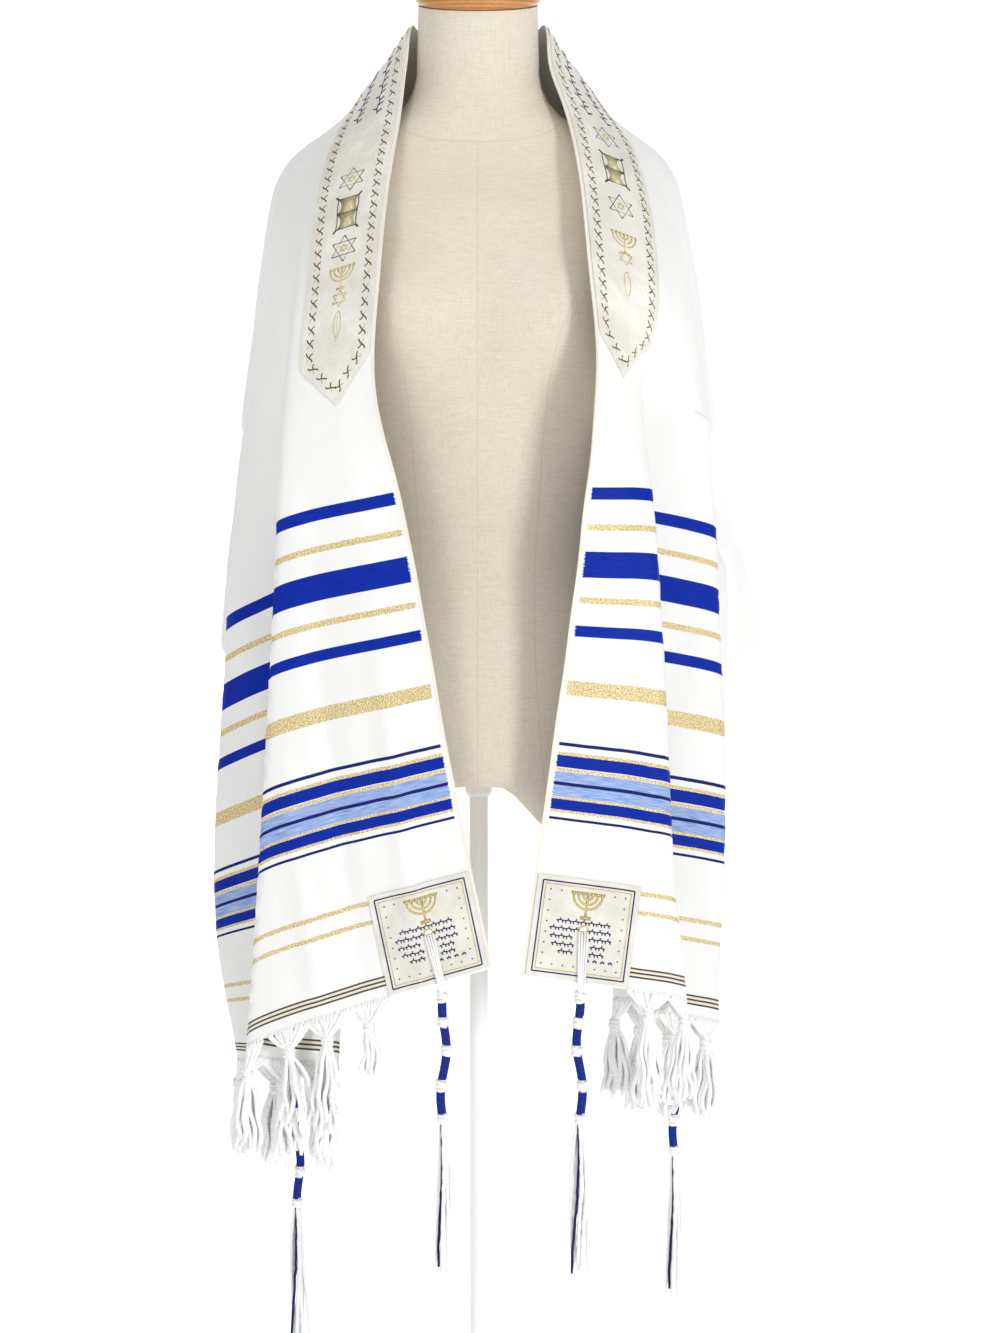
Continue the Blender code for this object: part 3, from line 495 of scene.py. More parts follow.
tone.color_ramp.elements[1].color = linear("#D89A50")
bump = add_node(wood, "ShaderNodeBump", inputs={"Height": grain.outputs[0], "Strength": 0.15, "Distance": 0.0003})
connect(wood, tone.outputs["Color"], wood_shader.inputs["Base Color"])
connect(wood, bump.outputs[0], wood_shader.inputs["Normal"])
wood_shader.inputs["Roughness"].default_value = 0.42
wood_shader.inputs["Coat Weight"].default_value = 0.6
wood_shader.inputs["Coat Roughness"].default_value = 0.12
cap.data.materials.append(wood)
settle(cap, "varnished_wood", "neck_cap")

# %% Lacquer material
lacquer, lacquer_shader = new_material("baked white lacquer on steel")
place = add_node(lacquer, "ShaderNodeTexCoord").outputs["Object"]
peel = add_node(lacquer, "ShaderNodeTexNoise", inputs={"Vector": place, "Scale": 380.0, "Detail": 2.0})
smudges = add_node(lacquer, "ShaderNodeTexNoise", inputs={"Vector": place, "Scale": 14.0, "Detail": 3.0})
tone = add_node(lacquer, "ShaderNodeValToRGB", inputs={"Fac": smudges.outputs["Fac"]})
tone.color_ramp.elements[0].color = linear("#F8F8F6")
tone.color_ramp.elements[1].color = linear("#FCFCFB")
gloss = add_node(lacquer, "ShaderNodeMapRange", inputs={"Value": smudges.outputs["Fac"], 3: 0.28, 4: 0.42})
bump = add_node(lacquer, "ShaderNodeBump", inputs={"Height": peel.outputs["Fac"], "Strength": 0.08, "Distance": 0.0002})
connect(lacquer, tone.outputs["Color"], lacquer_shader.inputs["Base Color"])
connect(lacquer, gloss.outputs[0], lacquer_shader.inputs["Roughness"])
connect(lacquer, bump.outputs[0], lacquer_shader.inputs["Normal"])
for piece, node in ((ferrule, "stand_ferrule"), (pole, "stand_pole"), (base, "stand_base")):
    piece.data.materials.append(lacquer)
    settle(piece, "white_lacquer", node)


# %% [markdown]
# ## The draped cloth's shape
#
# The shawl is 1800 mm long and 560 mm wide. Any place on it has two numbers: u, the distance along
# its length from the middle of the back, and v, the distance from the edge that lies round the
# neck. A cloth simulation could find how it hangs, but it would never land on the folds of the
# photograph. So the folds are measured instead. Each section below is a line across the cloth at
# one u, and its points are where the folds are. The cloth is a smooth curve through them, and v
# is measured along that curve, so the cloth keeps its cut.

# %% Sections of the drape
CLOTH_WIDTH, HALF_LENGTH = 560.0, 900.0
Section = namedtuple("Section", "u edge front inner outer tuck back selvage softness")

# Points are (out, y, z) in mm, with out the distance from the middle plane.
UPPER_SECTIONS = (
    Section(0, (0, 57, 1452), (0, 71, 1378), (0, 99, 1302), (0, 117, 1185),
            (0, 119, 1090), (0, 120, 995), (0, 121, 900), 60),
    Section(50, (44, 38, 1456), (52, 62, 1386), (58, 95, 1306), (56, 118, 1190),
            (55, 120, 1094), (53, 122, 998), (52, 124, 901), 60),
    Section(91, (55, 0, 1461), (84, 31, 1413), (110, 76, 1341), (104, 118, 1205),
            (100, 122, 1104), (96, 126, 1004), (93, 129, 903), 60),
    Section(127, (58, -17, 1430), (107, 5, 1390), (152, 36, 1350), (152, 100, 1205),
            (144, 115, 1106), (135, 125, 1008), (127, 133, 909), 60),
)
LEFT_SECTIONS = (
    Section(164, (61, -35, 1398), (114, -22, 1371), (164, 6, 1339), (180, 66, 1200),
            (176, 92, 1105), (168, 118, 1010), (160, 135, 916), 60),
    Section(230, (69, -74, 1346), (129, -62, 1325), (168, -30, 1290), (194, 30, 1150),
            (198, 66, 1078), (214, 94, 1008), (222, 112, 940), 55),
    Section(320, (76, -121, 1270), (144, -102, 1245), (160, -62, 1206), (196, -4, 1124),
            (174, 50, 1076), (204, 92, 1006), (204, 110, 900), 45),
    Section(403, (81, -142, 1185), (155, -114, 1160), (124, -84, 1138), (201, -20, 1078),
            (164, 30, 1036), (204, 76, 975), (198, 94, 872), 40),
    Section(518, (57, -141, 1071), (162, -109, 1041), (104, -90, 1016), (210, -25, 952),
            (160, 14, 926), (204, 52, 880), (188, 86, 832), 40),
    Section(754, (16, -137, 842), (178, -108, 789), (108, -92, 768), (221, -26, 716),
            (170, 4, 710), (202, 40, 688), (166, 78, 664), 46),
    Section(900, (-12, -134, 704), (190, -110, 630), (114, -90, 610), (202, -50, 606),
            (146, -24, 600), (168, 8, 582), (120, 40, 556), 50),
)
RIGHT_SECTIONS = (
    Section(164, (69, -35, 1398), (117, -22, 1371), (162, 6, 1339), (180, 66, 1200),
            (178, 92, 1105), (172, 118, 1010), (164, 135, 916), 60),
    Section(230, (80, -74, 1346), (133, -62, 1325), (167, -30, 1290), (194, 30, 1150),
            (204, 66, 1078), (226, 96, 1010), (244, 116, 946), 55),
    Section(320, (88, -121, 1270), (146, -102, 1245), (160, -62, 1206), (195, -4, 1128),
            (178, 50, 1080), (214, 92, 1008), (212, 110, 905), 45),
    Section(403, (94, -142, 1187), (132, -90, 1178), (110, -66, 1162), (192, -24, 1136),
            (160, 28, 1080), (212, 76, 1000), (214, 96, 872), 40),
    Section(518, (84, -141, 1074), (142, -110, 1069), (105, -90, 1060), (198, -25, 1030),
            (150, 14, 985), (202, 52, 925), (190, 88, 838), 40),
    Section(754, (54, -137, 842), (158, -108, 820), (108, -86, 812), (204, -26, 782),
            (146, 4, 768), (196, 38, 735), (156, 76, 716), 46),
    Section(900, (35, -134, 698), (169, -110, 672), (112, -80, 664), (203, -28, 632),
            (142, 2, 634), (186, 34, 618), (136, 72, 604), 50),
)
print("sections a side:", len(UPPER_SECTIONS) + len(LEFT_SECTIONS))

# %% From sections to a grid of points
ROW_STEP, COLUMN_STEP = 6.0, 5.0
STEPS_PER_FOLD = 24
CLEARANCE = 3.0


def unit(v):
    return v / max(float(np.linalg.norm(v)), 1e-9)


def clear_of_form(point, clearance):
    """The point, moved straight out where it lies nearer to the form than the clearance."""
    near, normal, _, _ = form_tree.find_nearest(Vector(point))
    if (Vector(point) - near).dot(normal) >= clearance:
        return point
    return np.array(near + normal * clearance)


def half_of_drape(side, rows, columns):
    """The points of one half of the cloth: one row for each distance from the middle of the back."""
    sections = (*UPPER_SECTIONS, *(LEFT_SECTIONS if side < 0 else RIGHT_SECTIONS))
    stations = np.array([s.u for s in sections], float)
    folds = np.array([s[1:-1] for s in sections], float)
    softness = np.array([s.softness for s in sections], float)
    grid = []
    for u in rows:
        fold = smooth_between(stations, folds, u) * (side, 1, 1)
        soft = float(np.interp(u, stations, softness))
        legs = [fold[1] - fold[0], *np.diff(fold, axis=0), fold[-1] - fold[-2]]
        reach = [min(soft, np.linalg.norm(a), np.linalg.norm(b)) for a, b in zip(legs, legs[1:])]
        tangents = [unit(unit(a) + unit(b)) * r for a, b, r in zip(legs, legs[1:], reach)]
        line = [fold[0]]
        for k in range(len(fold) - 1):
            for step in range(1, STEPS_PER_FOLD + 1):
                share = step / STEPS_PER_FOLD
                line.append(hermite(fold[k], fold[k + 1], tangents[k], tangents[k + 1], share))
        line = np.array(line)
        length = np.concatenate([[0], np.cumsum(np.linalg.norm(np.diff(line, axis=0), axis=1))])
        front = length[STEPS_PER_FOLD]
        rest = (CLOTH_WIDTH - front) / (length[-1] - front)
        v = np.where(length <= front, length, front + (length - front) * rest)
        grid.append(np.stack([np.interp(columns, v, line[:, axis]) for axis in range(3)], axis=1))
    return np.array(grid)


rows = np.arange(0, HALF_LENGTH + 1, ROW_STEP)
columns = np.arange(0, CLOTH_WIDTH + 1, COLUMN_STEP)
left_half = half_of_drape(-1, rows, columns)
right_half = half_of_drape(1, rows, columns)
cloth_points = np.concatenate([left_half[:0:-1], right_half])
cloth_u = np.concatenate([-rows[:0:-1], rows])
print("cloth grid:", cloth_points.shape)

# %% [markdown]
# ## Creases
#
# Smooth curves alone look like sheet metal. Satin-like cloth has soft troughs and ridges that run
# from where it is held. Each line below is one of them: where it starts and ends on the cloth, how
# wide it is and how far it moves the cloth, out for a ridge and in for a trough. They are uneven on
# purpose. After them the cloth is pushed clear of the form once more.

# %% Troughs and ridges, listed one by one
Crease = namedtuple("Crease", "u_from v_from u_to v_to width depth")

# u is negative on the viewer's left.
CREASES = (
    # the back, from the neck and shoulders down
    Crease(-8, 70, -26, 500, 15, 4.4),
    Crease(30, 90, 44, 420, 12, -2.6),
    Crease(-62, 60, -86, 520, 16, 5.2),
    Crease(74, 80, 100, 540, 17, 5.4),
    Crease(-118, 130, -150, 540, 16, -3.0),
    Crease(128, 120, 150, 470, 15, -2.6),
    Crease(-170, 190, -205, 545, 18, 4.4),
    Crease(176, 180, 214, 550, 20, 4.0),
    # over the arms
    Crease(-214, 110, -262, 330, 13, 2.6),
    Crease(222, 120, 268, 350, 14, 2.6),
    Crease(-250, 200, -340, 470, 15, -3.0),
    Crease(252, 210, 336, 450, 14, -2.8),
    Crease(-160, 74, -214, 96, 9, -1.4),
    Crease(166, 78, 226, 92, 9, -1.4),
    # down the fronts
    Crease(-440, 30, -800, 52, 15, 1.8),
    Crease(-470, 74, -770, 96, 12, -1.8),
    Crease(-560, 18, -740, 24, 8, 1.0),
    Crease(430, 24, 790, 40, 13, 1.6),
    Crease(500, 52, 800, 66, 11, -1.5),
    Crease(-450, 118, -560, 60, 11, 1.6),
    Crease(432, 60, 560, 22, 10, 1.4),
    Crease(-650, 42, -905, 60, 9, 2.8),
    Crease(-600, 96, -870, 106, 9, -3.0),
    Crease(-690, 136, -905, 148, 9, 3.0),
    Crease(620, 34, 800, 42, 8, -1.8),
    Crease(660, 84, 880, 96, 9, 2.8),
    Crease(700, 118, 905, 126, 8, -2.4),
    # the side panels
    Crease(-430, 230, -860, 245, 16, -2.6),
    Crease(-380, 300, -820, 330, 18, 3.0),
    Crease(-420, 420, -850, 440, 15, -2.6),
    Crease(420, 225, 860, 240, 16, -2.4),
    Crease(380, 300, 830, 318, 18, 3.0),
    Crease(430, 430, 850, 452, 15, -2.6),
    # the hems
    Crease(-900, 130, -840, 136, 12, 2.4),
    Crease(-900, 300, -830, 306, 13, 2.8),
    Crease(900, 140, 842, 132, 12, 2.2),
    Crease(900, 330, 830, 322, 13, -2.6),
)
HEM_WAVE, HEM_WAVE_MM = 0.7, 34.0


def normals_of(points):
    normals = np.cross(np.gradient(points, axis=0), np.gradient(points, axis=1))
    return normals / np.maximum(np.linalg.norm(normals, axis=2, keepdims=True), 1e-9)


u_map, v_map = np.meshgrid(cloth_u, columns, indexing="ij")
moved = np.zeros_like(u_map)
for crease in CREASES:
    along = np.array([crease.u_to - crease.u_from, crease.v_to - crease.v_from], float)
    length = float(np.linalg.norm(along))
    along /= length
    off_u, off_v = u_map - crease.u_from, v_map - crease.v_from
    on = off_u * along[0] + off_v * along[1]
    aside = off_v * along[0] - off_u * along[1]
    fade = 1 / (1 + np.exp(-on / 18)) / (1 + np.exp((on - length) / 18))
    moved += crease.depth * fade * np.exp(-((aside / crease.width) ** 2))
edge = np.minimum(v_map, CLOTH_WIDTH - v_map)
moved += HEM_WAVE * np.exp(-edge / 6) * np.sin(u_map / HEM_WAVE_MM * 2 + np.sin(u_map / 90) * 2)
cloth_points += normals_of(cloth_points) * moved[:, :, None]
cloth_points = np.array([[clear_of_form(p, CLEARANCE) for p in row] for row in cloth_points])
cloth_normals = normals_of(cloth_points)
print("creases:", len(CREASES), "deepest", round(float(np.abs(moved).max()), 1), "mm")


# %% Any place on the cloth
def on_cloth(u, v, lift=0.0):
    """The point in mm at this place of the cloth, moved out from the middle of its thickness."""
    i = min(max((u + HALF_LENGTH) / ROW_STEP, 0), len(cloth_u) - 1.001)
    j = min(max(v / COLUMN_STEP, 0), len(columns) - 1.001)
    a, b = int(i), int(j)
    s, t = i - a, j - b
    lifted = cloth_points[a : a + 2, b : b + 2] + cloth_normals[a : a + 2, b : b + 2] * lift
    return (lifted[0, 0] * (1 - s) + lifted[1, 0] * s) * (1 - t) + (lifted[0, 1] * (1 - s) + lifted[1, 1] * s) * t


def grid_piece(name, points, flat, thickness):
    """A sheet from a grid of points in mm, with a UV map of its flat places in metres, and a real thickness."""
    height, width = points.shape[:2]
    corners = [(i * width + j, i * width + j + 1, (i + 1) * width + j + 1, (i + 1) * width + j)
               for i in range(height - 1) for j in range(width - 1)]
    mesh = bpy.data.meshes.new(name)
    mesh.from_pydata((points.reshape(-1, 3) * MM).tolist(), [], [face[::-1] for face in corners])
    layer = mesh.uv_layers.new(name="flat_cloth")
    flat = flat.reshape(-1, 2) * MM
    for loop in mesh.loops:
        layer.data[loop.index].uv = flat[loop.vertex_index]
    piece = bpy.data.objects.new(name, mesh)
    bpy.context.scene.collection.objects.link(piece)
    bpy.ops.object.select_all(action="DESELECT")
    piece.select_set(True)
    bpy.context.view_layer.objects.active = piece
    wall = piece.modifiers.new("thickness", "SOLIDIFY")
    wall.thickness = thickness * MM
    wall.offset = 0.0
    bpy.ops.object.modifier_apply(modifier=wall.name)
    bpy.ops.object.shade_smooth_by_angle(angle=math.radians(50))
    return piece


CLOTH_WALL = 1.2
shawl = grid_piece("shawl", cloth_points, np.stack([u_map, v_map], axis=2), CLOTH_WALL)
out_there = Vector(on_cloth(0, 200, 1) - on_cloth(0, 200, 0))
print("shawl:", len(shawl.data.vertices), "points; the back faces", [round(c, 2) for c in out_there])

# %% [markdown]
# ## Striped satin
#
# The cloth is white polyester with a satin face: long floating threads that give a soft gloss. The
# stripes are woven across its length, so the material reads the flat map, where u is a plain
# distance. One table lists them, and a loop turns each line into one Compare node, which answers
# 1 inside its band. Metallic yarn never covers evenly, so the gold bands are broken by fine noise,
# and near the long edges all bands end in a ragged line of thread ends. The gold is speckled from
# dark gold to near white: the darker specks are the yarn's own tone, the near-white ones painted glints.

# %% Stripe table
Stripe = namedtuple("Stripe", "thread start end")

# Distances in mm from the middle of the back, the same on both halves.
STRIPES = (
    Stripe("royal", 497, 507), Stripe("gold", 527, 532), Stripe("royal", 549, 570),
    Stripe("gold", 586, 591), Stripe("royal", 609, 618), Stripe("gold", 654, 666),
    Stripe("navy", 704.4, 707.2), Stripe("gold", 712, 714.8), Stripe("royal", 714.8, 724.6),
    Stripe("gold", 725.2, 728.0), Stripe("sky", 728.2, 736.6), Stripe("navy", 736.6, 739.4),
    Stripe("sky", 739.4, 748.4), Stripe("gold", 748.4, 750.6), Stripe("royal", 750.6, 759.4),
    Stripe("gold", 759.4, 761.6), Stripe("navy", 765.6, 767.8), Stripe("gold", 817.2, 821.0),
    Stripe("gold", 833.2, 836.8), Stripe("dark", 881.0, 882.5), Stripe("tan", 882.5, 884.5),
    Stripe("dark", 884.5, 886.0), Stripe("tan", 886.0, 888.0), Stripe("dark", 888.0, 889.5),
)
STRIPE_END_MM = 5.0
GOLD_SPECK_MM = 1.2
SATIN_THREAD_MM = 1.1

satin, satin_shader = new_material("white polyester satin, woven with stripes")
flat = add_node(satin, "ShaderNodeUVMap", {"uv_map": "flat_cloth"}).outputs[0]
flat_mm = add_node(satin, "ShaderNodeVectorMath", {"operation": "SCALE"}, {0: flat, "Scale": 1000.0}).outputs[0]
parts = add_node(satin, "ShaderNodeSeparateXYZ", inputs={0: flat_mm})
along = add_node(satin, "ShaderNodeMath", {"operation": "ABSOLUTE"}, {0: parts.outputs["X"]}).outputs[0]
across = parts.outputs["Y"]
print("stripes:", len(STRIPES))

# %% Stripes on the satin
rough_line = add_node(satin, "ShaderNodeTexNoise", inputs={"Vector": flat_mm, "Scale": 0.7, "Detail": 2.0})
frayed = add_node(satin, "ShaderNodeMath", {"operation": "MULTIPLY_ADD"}, {
    0: rough_line.outputs["Fac"], 1: 1.6, 2: along})
frayed = add_node(satin, "ShaderNodeMath", {"operation": "SUBTRACT"}, {0: frayed.outputs[0], 1: 0.8})

bands = {}
for stripe in STRIPES:
    read = frayed.outputs[0] if stripe.thread == "gold" else along
    centre, half = (stripe.start + stripe.end) / 2, (stripe.end - stripe.start) / 2
    band = add_node(satin, "ShaderNodeMath", {"operation": "COMPARE"}, {0: read, 1: centre, 2: half}).outputs[0]
    if stripe.thread in bands:
        band = add_node(satin, "ShaderNodeMath", {"operation": "MAXIMUM"}, {
            0: bands[stripe.thread], 1: band}).outputs[0]
    bands[stripe.thread] = band

ends = add_node(satin, "ShaderNodeTexNoise", {"noise_dimensions": "1D"}, {"W": along, "Scale": 0.9, "Detail": 1.0})
margin = add_node(satin, "ShaderNodeMath", {"operation": "MULTIPLY_ADD"}, {
    0: ends.outputs["Fac"], 1: 3.6, 2: STRIPE_END_MM - 1.8})
past_near = add_node(satin, "ShaderNodeMath", {"operation": "GREATER_THAN"}, {0: across, 1: margin.outputs[0]})
to_far = add_node(satin, "ShaderNodeMath", {"operation": "SUBTRACT"}, {0: CLOTH_WIDTH, 1: across})
past_far = add_node(satin, "ShaderNodeMath", {"operation": "GREATER_THAN"}, {
    0: to_far.outputs[0], 1: margin.outputs[0]})
woven = add_node(satin, "ShaderNodeMath", {"operation": "MULTIPLY"}, {
    0: past_near.outputs[0], 1: past_far.outputs[0]}).outputs[0]
print("threads used:", sorted(bands))

# %% Thread colours
streaked = add_node(satin, "ShaderNodeMapping", inputs={"Vector": flat_mm, "Scale": (1.3, 0.07, 1)})
streaks = add_node(satin, "ShaderNodeTexNoise", inputs={"Vector": streaked.outputs[0], "Scale": 1.0, "Detail": 3.0})
# Gold specks: the darker ones are the lurex yarn's own uneven tone, the near-white ones are painted glints of its metal
# film.
specks_and_glints = add_node(satin, "ShaderNodeTexNoise", inputs={
    "Vector": flat_mm, "Scale": 1 / GOLD_SPECK_MM, "Detail": 2.0, "Roughness": 0.7})
soft_tone = add_node(satin, "ShaderNodeTexNoise", inputs={"Vector": flat_mm, "Scale": 0.012, "Detail": 2.0})

royal = add_node(satin, "ShaderNodeMix", {"data_type": "RGBA"}, {
    0: streaks.outputs["Fac"], 6: linear("#001487"), 7: linear("#0536B4")}).outputs[2]
sky_mix = add_node(satin, "ShaderNodeMapRange", inputs={"Value": streaks.outputs["Fac"], 1: 0.35, 2: 0.65})
sky = add_node(satin, "ShaderNodeMix", {"data_type": "RGBA"}, {
    0: sky_mix.outputs[0], 6: linear("#7696D4"), 7: linear("#B2C4E8")}).outputs[2]
gold_and_glint_mix = add_node(satin, "ShaderNodeMapRange", inputs={"Value": specks_and_glints.outputs["Fac"], 1: 0.4, 2: 0.62})
gold = add_node(satin, "ShaderNodeMix", {"data_type": "RGBA"}, {
    0: gold_and_glint_mix.outputs[0], 6: linear("#BF9F52"), 7: linear("#F8F0CB")}).outputs[2]
white = add_node(satin, "ShaderNodeMix", {"data_type": "RGBA"}, {
    0: soft_tone.outputs["Fac"], 6: linear("#F0F0EF"), 7: linear("#F7F7F5")}).outputs[2]
thread_colours = {"royal": royal, "sky": sky, "gold": gold, "navy": linear("#16236C"),
                  "dark": linear("#4F463E"), "tan": linear("#E6E1D0")}

colour = white
for thread, band in bands.items():
    shown = add_node(satin, "ShaderNodeMath", {"operation": "MULTIPLY"}, {0: band, 1: woven}).outputs[0]
    colour = add_node(satin, "ShaderNodeMix", {"data_type": "RGBA"}, {
        0: shown, 6: colour, 7: thread_colours[thread]}).outputs[2]
    bands[thread] = shown
rolled = add_node(satin, "ShaderNodeMath", {"operation": "LESS_THAN"}, {0: across, 1: 2.6}).outputs[0]
colour = add_node(satin, "ShaderNodeMix", {"data_type": "RGBA"}, {0: rolled, 6: colour, 7: linear("#F1ECE0")}).outputs[2]
connect(satin, colour, satin_shader.inputs["Base Color"])
print("colours mixed in:", list(thread_colours))

# %% Satin weave and gloss
spread = add_node(satin, "ShaderNodeMapping", inputs={"Vector": flat_mm, "Scale": (1 / SATIN_THREAD_MM, 0.09, 1)})
floats = add_node(satin, "ShaderNodeTexNoise", inputs={"Vector": spread.outputs[0], "Scale": 1.0, "Detail": 2.0})
rumple = add_node(satin, "ShaderNodeTexNoise", inputs={"Vector": flat_mm, "Scale": 0.022, "Detail": 3.0,
                                                       "Roughness": 0.55})
fine_bump = add_node(satin, "ShaderNodeBump", inputs={
    "Height": floats.outputs["Fac"], "Strength": 0.18, "Distance": 0.0003})
soft_bump = add_node(satin, "ShaderNodeBump", inputs={
    "Height": rumple.outputs["Fac"], "Strength": 0.35, "Distance": 0.006, "Normal": fine_bump.outputs[0]})
metal = add_node(satin, "ShaderNodeMath", {"operation": "MULTIPLY"}, {0: bands["gold"], 1: 0.2})
gloss = add_node(satin, "ShaderNodeMapRange", inputs={"Value": floats.outputs["Fac"], 3: 0.46, 4: 0.62})
connect(satin, soft_bump.outputs[0], satin_shader.inputs["Normal"])
connect(satin, metal.outputs[0], satin_shader.inputs["Metallic"])
connect(satin, gloss.outputs[0], satin_shader.inputs["Roughness"])
satin_shader.inputs["Specular IOR Level"].default_value = 0.12
shawl.data.materials.append(satin)
settle(shawl, "white_satin", "shawl_cloth")


# %% [markdown]
# ## Neckband and corner patches
#
# The neckband (atarah) is an ivory satin band along the neck edge, with a point at each end. The
# four patches are squares of the same satin at the corners. Both are sewn on the outer face, so
# they are made from the cloth's own points, moved out by a hair, and follow every fold.

# %% Sewn-on panels
SEAM_GAP, TRIM_WALL = 0.45, 1.0
NEAR_EDGE, BAND_FAR, PATCH_FAR = 3.0, 63.0, 88.0
BAND_TIPS = {-1: 421.0, 1: 407.0}
BAND_POINT = 34.0
PATCH_SIDE, PATCH_MARGIN = 84.0, 2.0
PATCH_TOP = HALF_LENGTH - PATCH_SIDE - PATCH_MARGIN
PANEL_STEP = 4.0
PANEL_LIFT = CLOTH_WALL / 2 + SEAM_GAP + TRIM_WALL / 2
PANEL_FACE = CLOTH_WALL / 2 + SEAM_GAP + TRIM_WALL

Corner = namedtuple("Corner", "name side front drift")
CORNERS = (
    Corner("front_left", -1, True, -2),
    Corner("front_right", 1, True, 4),
    Corner("rear_left", -1, False, 0),
    Corner("rear_right", 1, False, 0),
)


def panel(name, places):
    """A panel on the outer face from a grid of (u, v) places."""
    points = np.array([[on_cloth(u, v, PANEL_LIFT) for u, v in row] for row in places])
    return grid_piece(name, points, np.array(places, float), TRIM_WALL)


band_middle = (NEAR_EDGE + BAND_FAR) / 2
band_columns = np.linspace(NEAR_EDGE, BAND_FAR, 16)
band_rows = []
for u in np.linspace(-BAND_TIPS[-1], BAND_TIPS[1], 209):
    left = BAND_TIPS[1 if u > 0 else -1] - abs(u)
    share = min(1.0, max(left / BAND_POINT, 0.01))
    band_rows.append([(u, band_middle + (v - band_middle) * share) for v in band_columns])
neckband = panel("satin_neckband", band_rows)

patches = {}
for corner in CORNERS:
    near = NEAR_EDGE if corner.front else CLOTH_WIDTH - PATCH_FAR
    us = np.linspace(PATCH_TOP, PATCH_TOP + PATCH_SIDE, 22) * corner.side
    vs = np.linspace(near, near + PATCH_FAR - NEAR_EDGE, 22)
    patches[corner.name] = panel(f"satin_patch_{corner.name}", [[(u, v) for v in vs] for u in sorted(us)])
print("panels:", 1 + len(patches))

# %% Ivory satin material
PUCKER_MM = 7.0

ivory, ivory_shader = new_material("ivory acetate satin")
flat = add_node(ivory, "ShaderNodeUVMap", {"uv_map": "flat_cloth"}).outputs[0]
flat_mm = add_node(ivory, "ShaderNodeVectorMath", {"operation": "SCALE"}, {0: flat, "Scale": 1000.0}).outputs[0]
spread = add_node(ivory, "ShaderNodeMapping", inputs={"Vector": flat_mm, "Scale": (0.12, 0.9, 1)})
floats = add_node(ivory, "ShaderNodeTexNoise", inputs={"Vector": spread.outputs[0], "Scale": 1.0, "Detail": 2.0})
rumple = add_node(ivory, "ShaderNodeTexNoise", inputs={
    "Vector": flat_mm, "Scale": 1 / (4 * PUCKER_MM), "Detail": 4.0, "Roughness": 0.6})
# The colour follows the same pucker noise as the bump: darker in the hollows and lighter on the crests, which is
# painted shade.
tone = add_node(ivory, "ShaderNodeValToRGB", inputs={"Fac": rumple.outputs["Fac"]})
tone.color_ramp.elements[0].position = 0.3
tone.color_ramp.elements[0].color = linear("#DBD7CC")
tone.color_ramp.elements[1].position = 0.7
tone.color_ramp.elements[1].color = linear("#EFECE3")
fine_bump = add_node(ivory, "ShaderNodeBump", inputs={
    "Height": floats.outputs["Fac"], "Strength": 0.2, "Distance": 0.0003})
soft_bump = add_node(ivory, "ShaderNodeBump", inputs={
    "Height": rumple.outputs["Fac"], "Strength": 0.5, "Distance": 0.004, "Normal": fine_bump.outputs[0]})
gloss = add_node(ivory, "ShaderNodeMapRange", inputs={"Value": floats.outputs["Fac"], 3: 0.3, 4: 0.46})
connect(ivory, tone.outputs["Color"], ivory_shader.inputs["Base Color"])
connect(ivory, soft_bump.outputs[0], ivory_shader.inputs["Normal"])
connect(ivory, gloss.outputs[0], ivory_shader.inputs["Roughness"])
ivory_shader.inputs["Sheen Weight"].default_value = 0.1

neckband.data.materials.append(ivory)
settle(neckband, "ivory_satin", "neckband")
for name, patch in patches.items():
    patch.data.materials.append(ivory)
    settle(patch, "ivory_satin", f"patch_{name}")


# %% [markdown]
# ## Thread, yarn and cord
#
# Embroidery, fringe and tassels are all thread of some thickness. One small class gathers lofted
# shapes into a single mesh: a tube for a yarn or cord, and a flat ridge for a stitch that follows
# the cloth. Every shape keeps a UV map of turns round and metres along, so that a twist can be
# drawn on it.

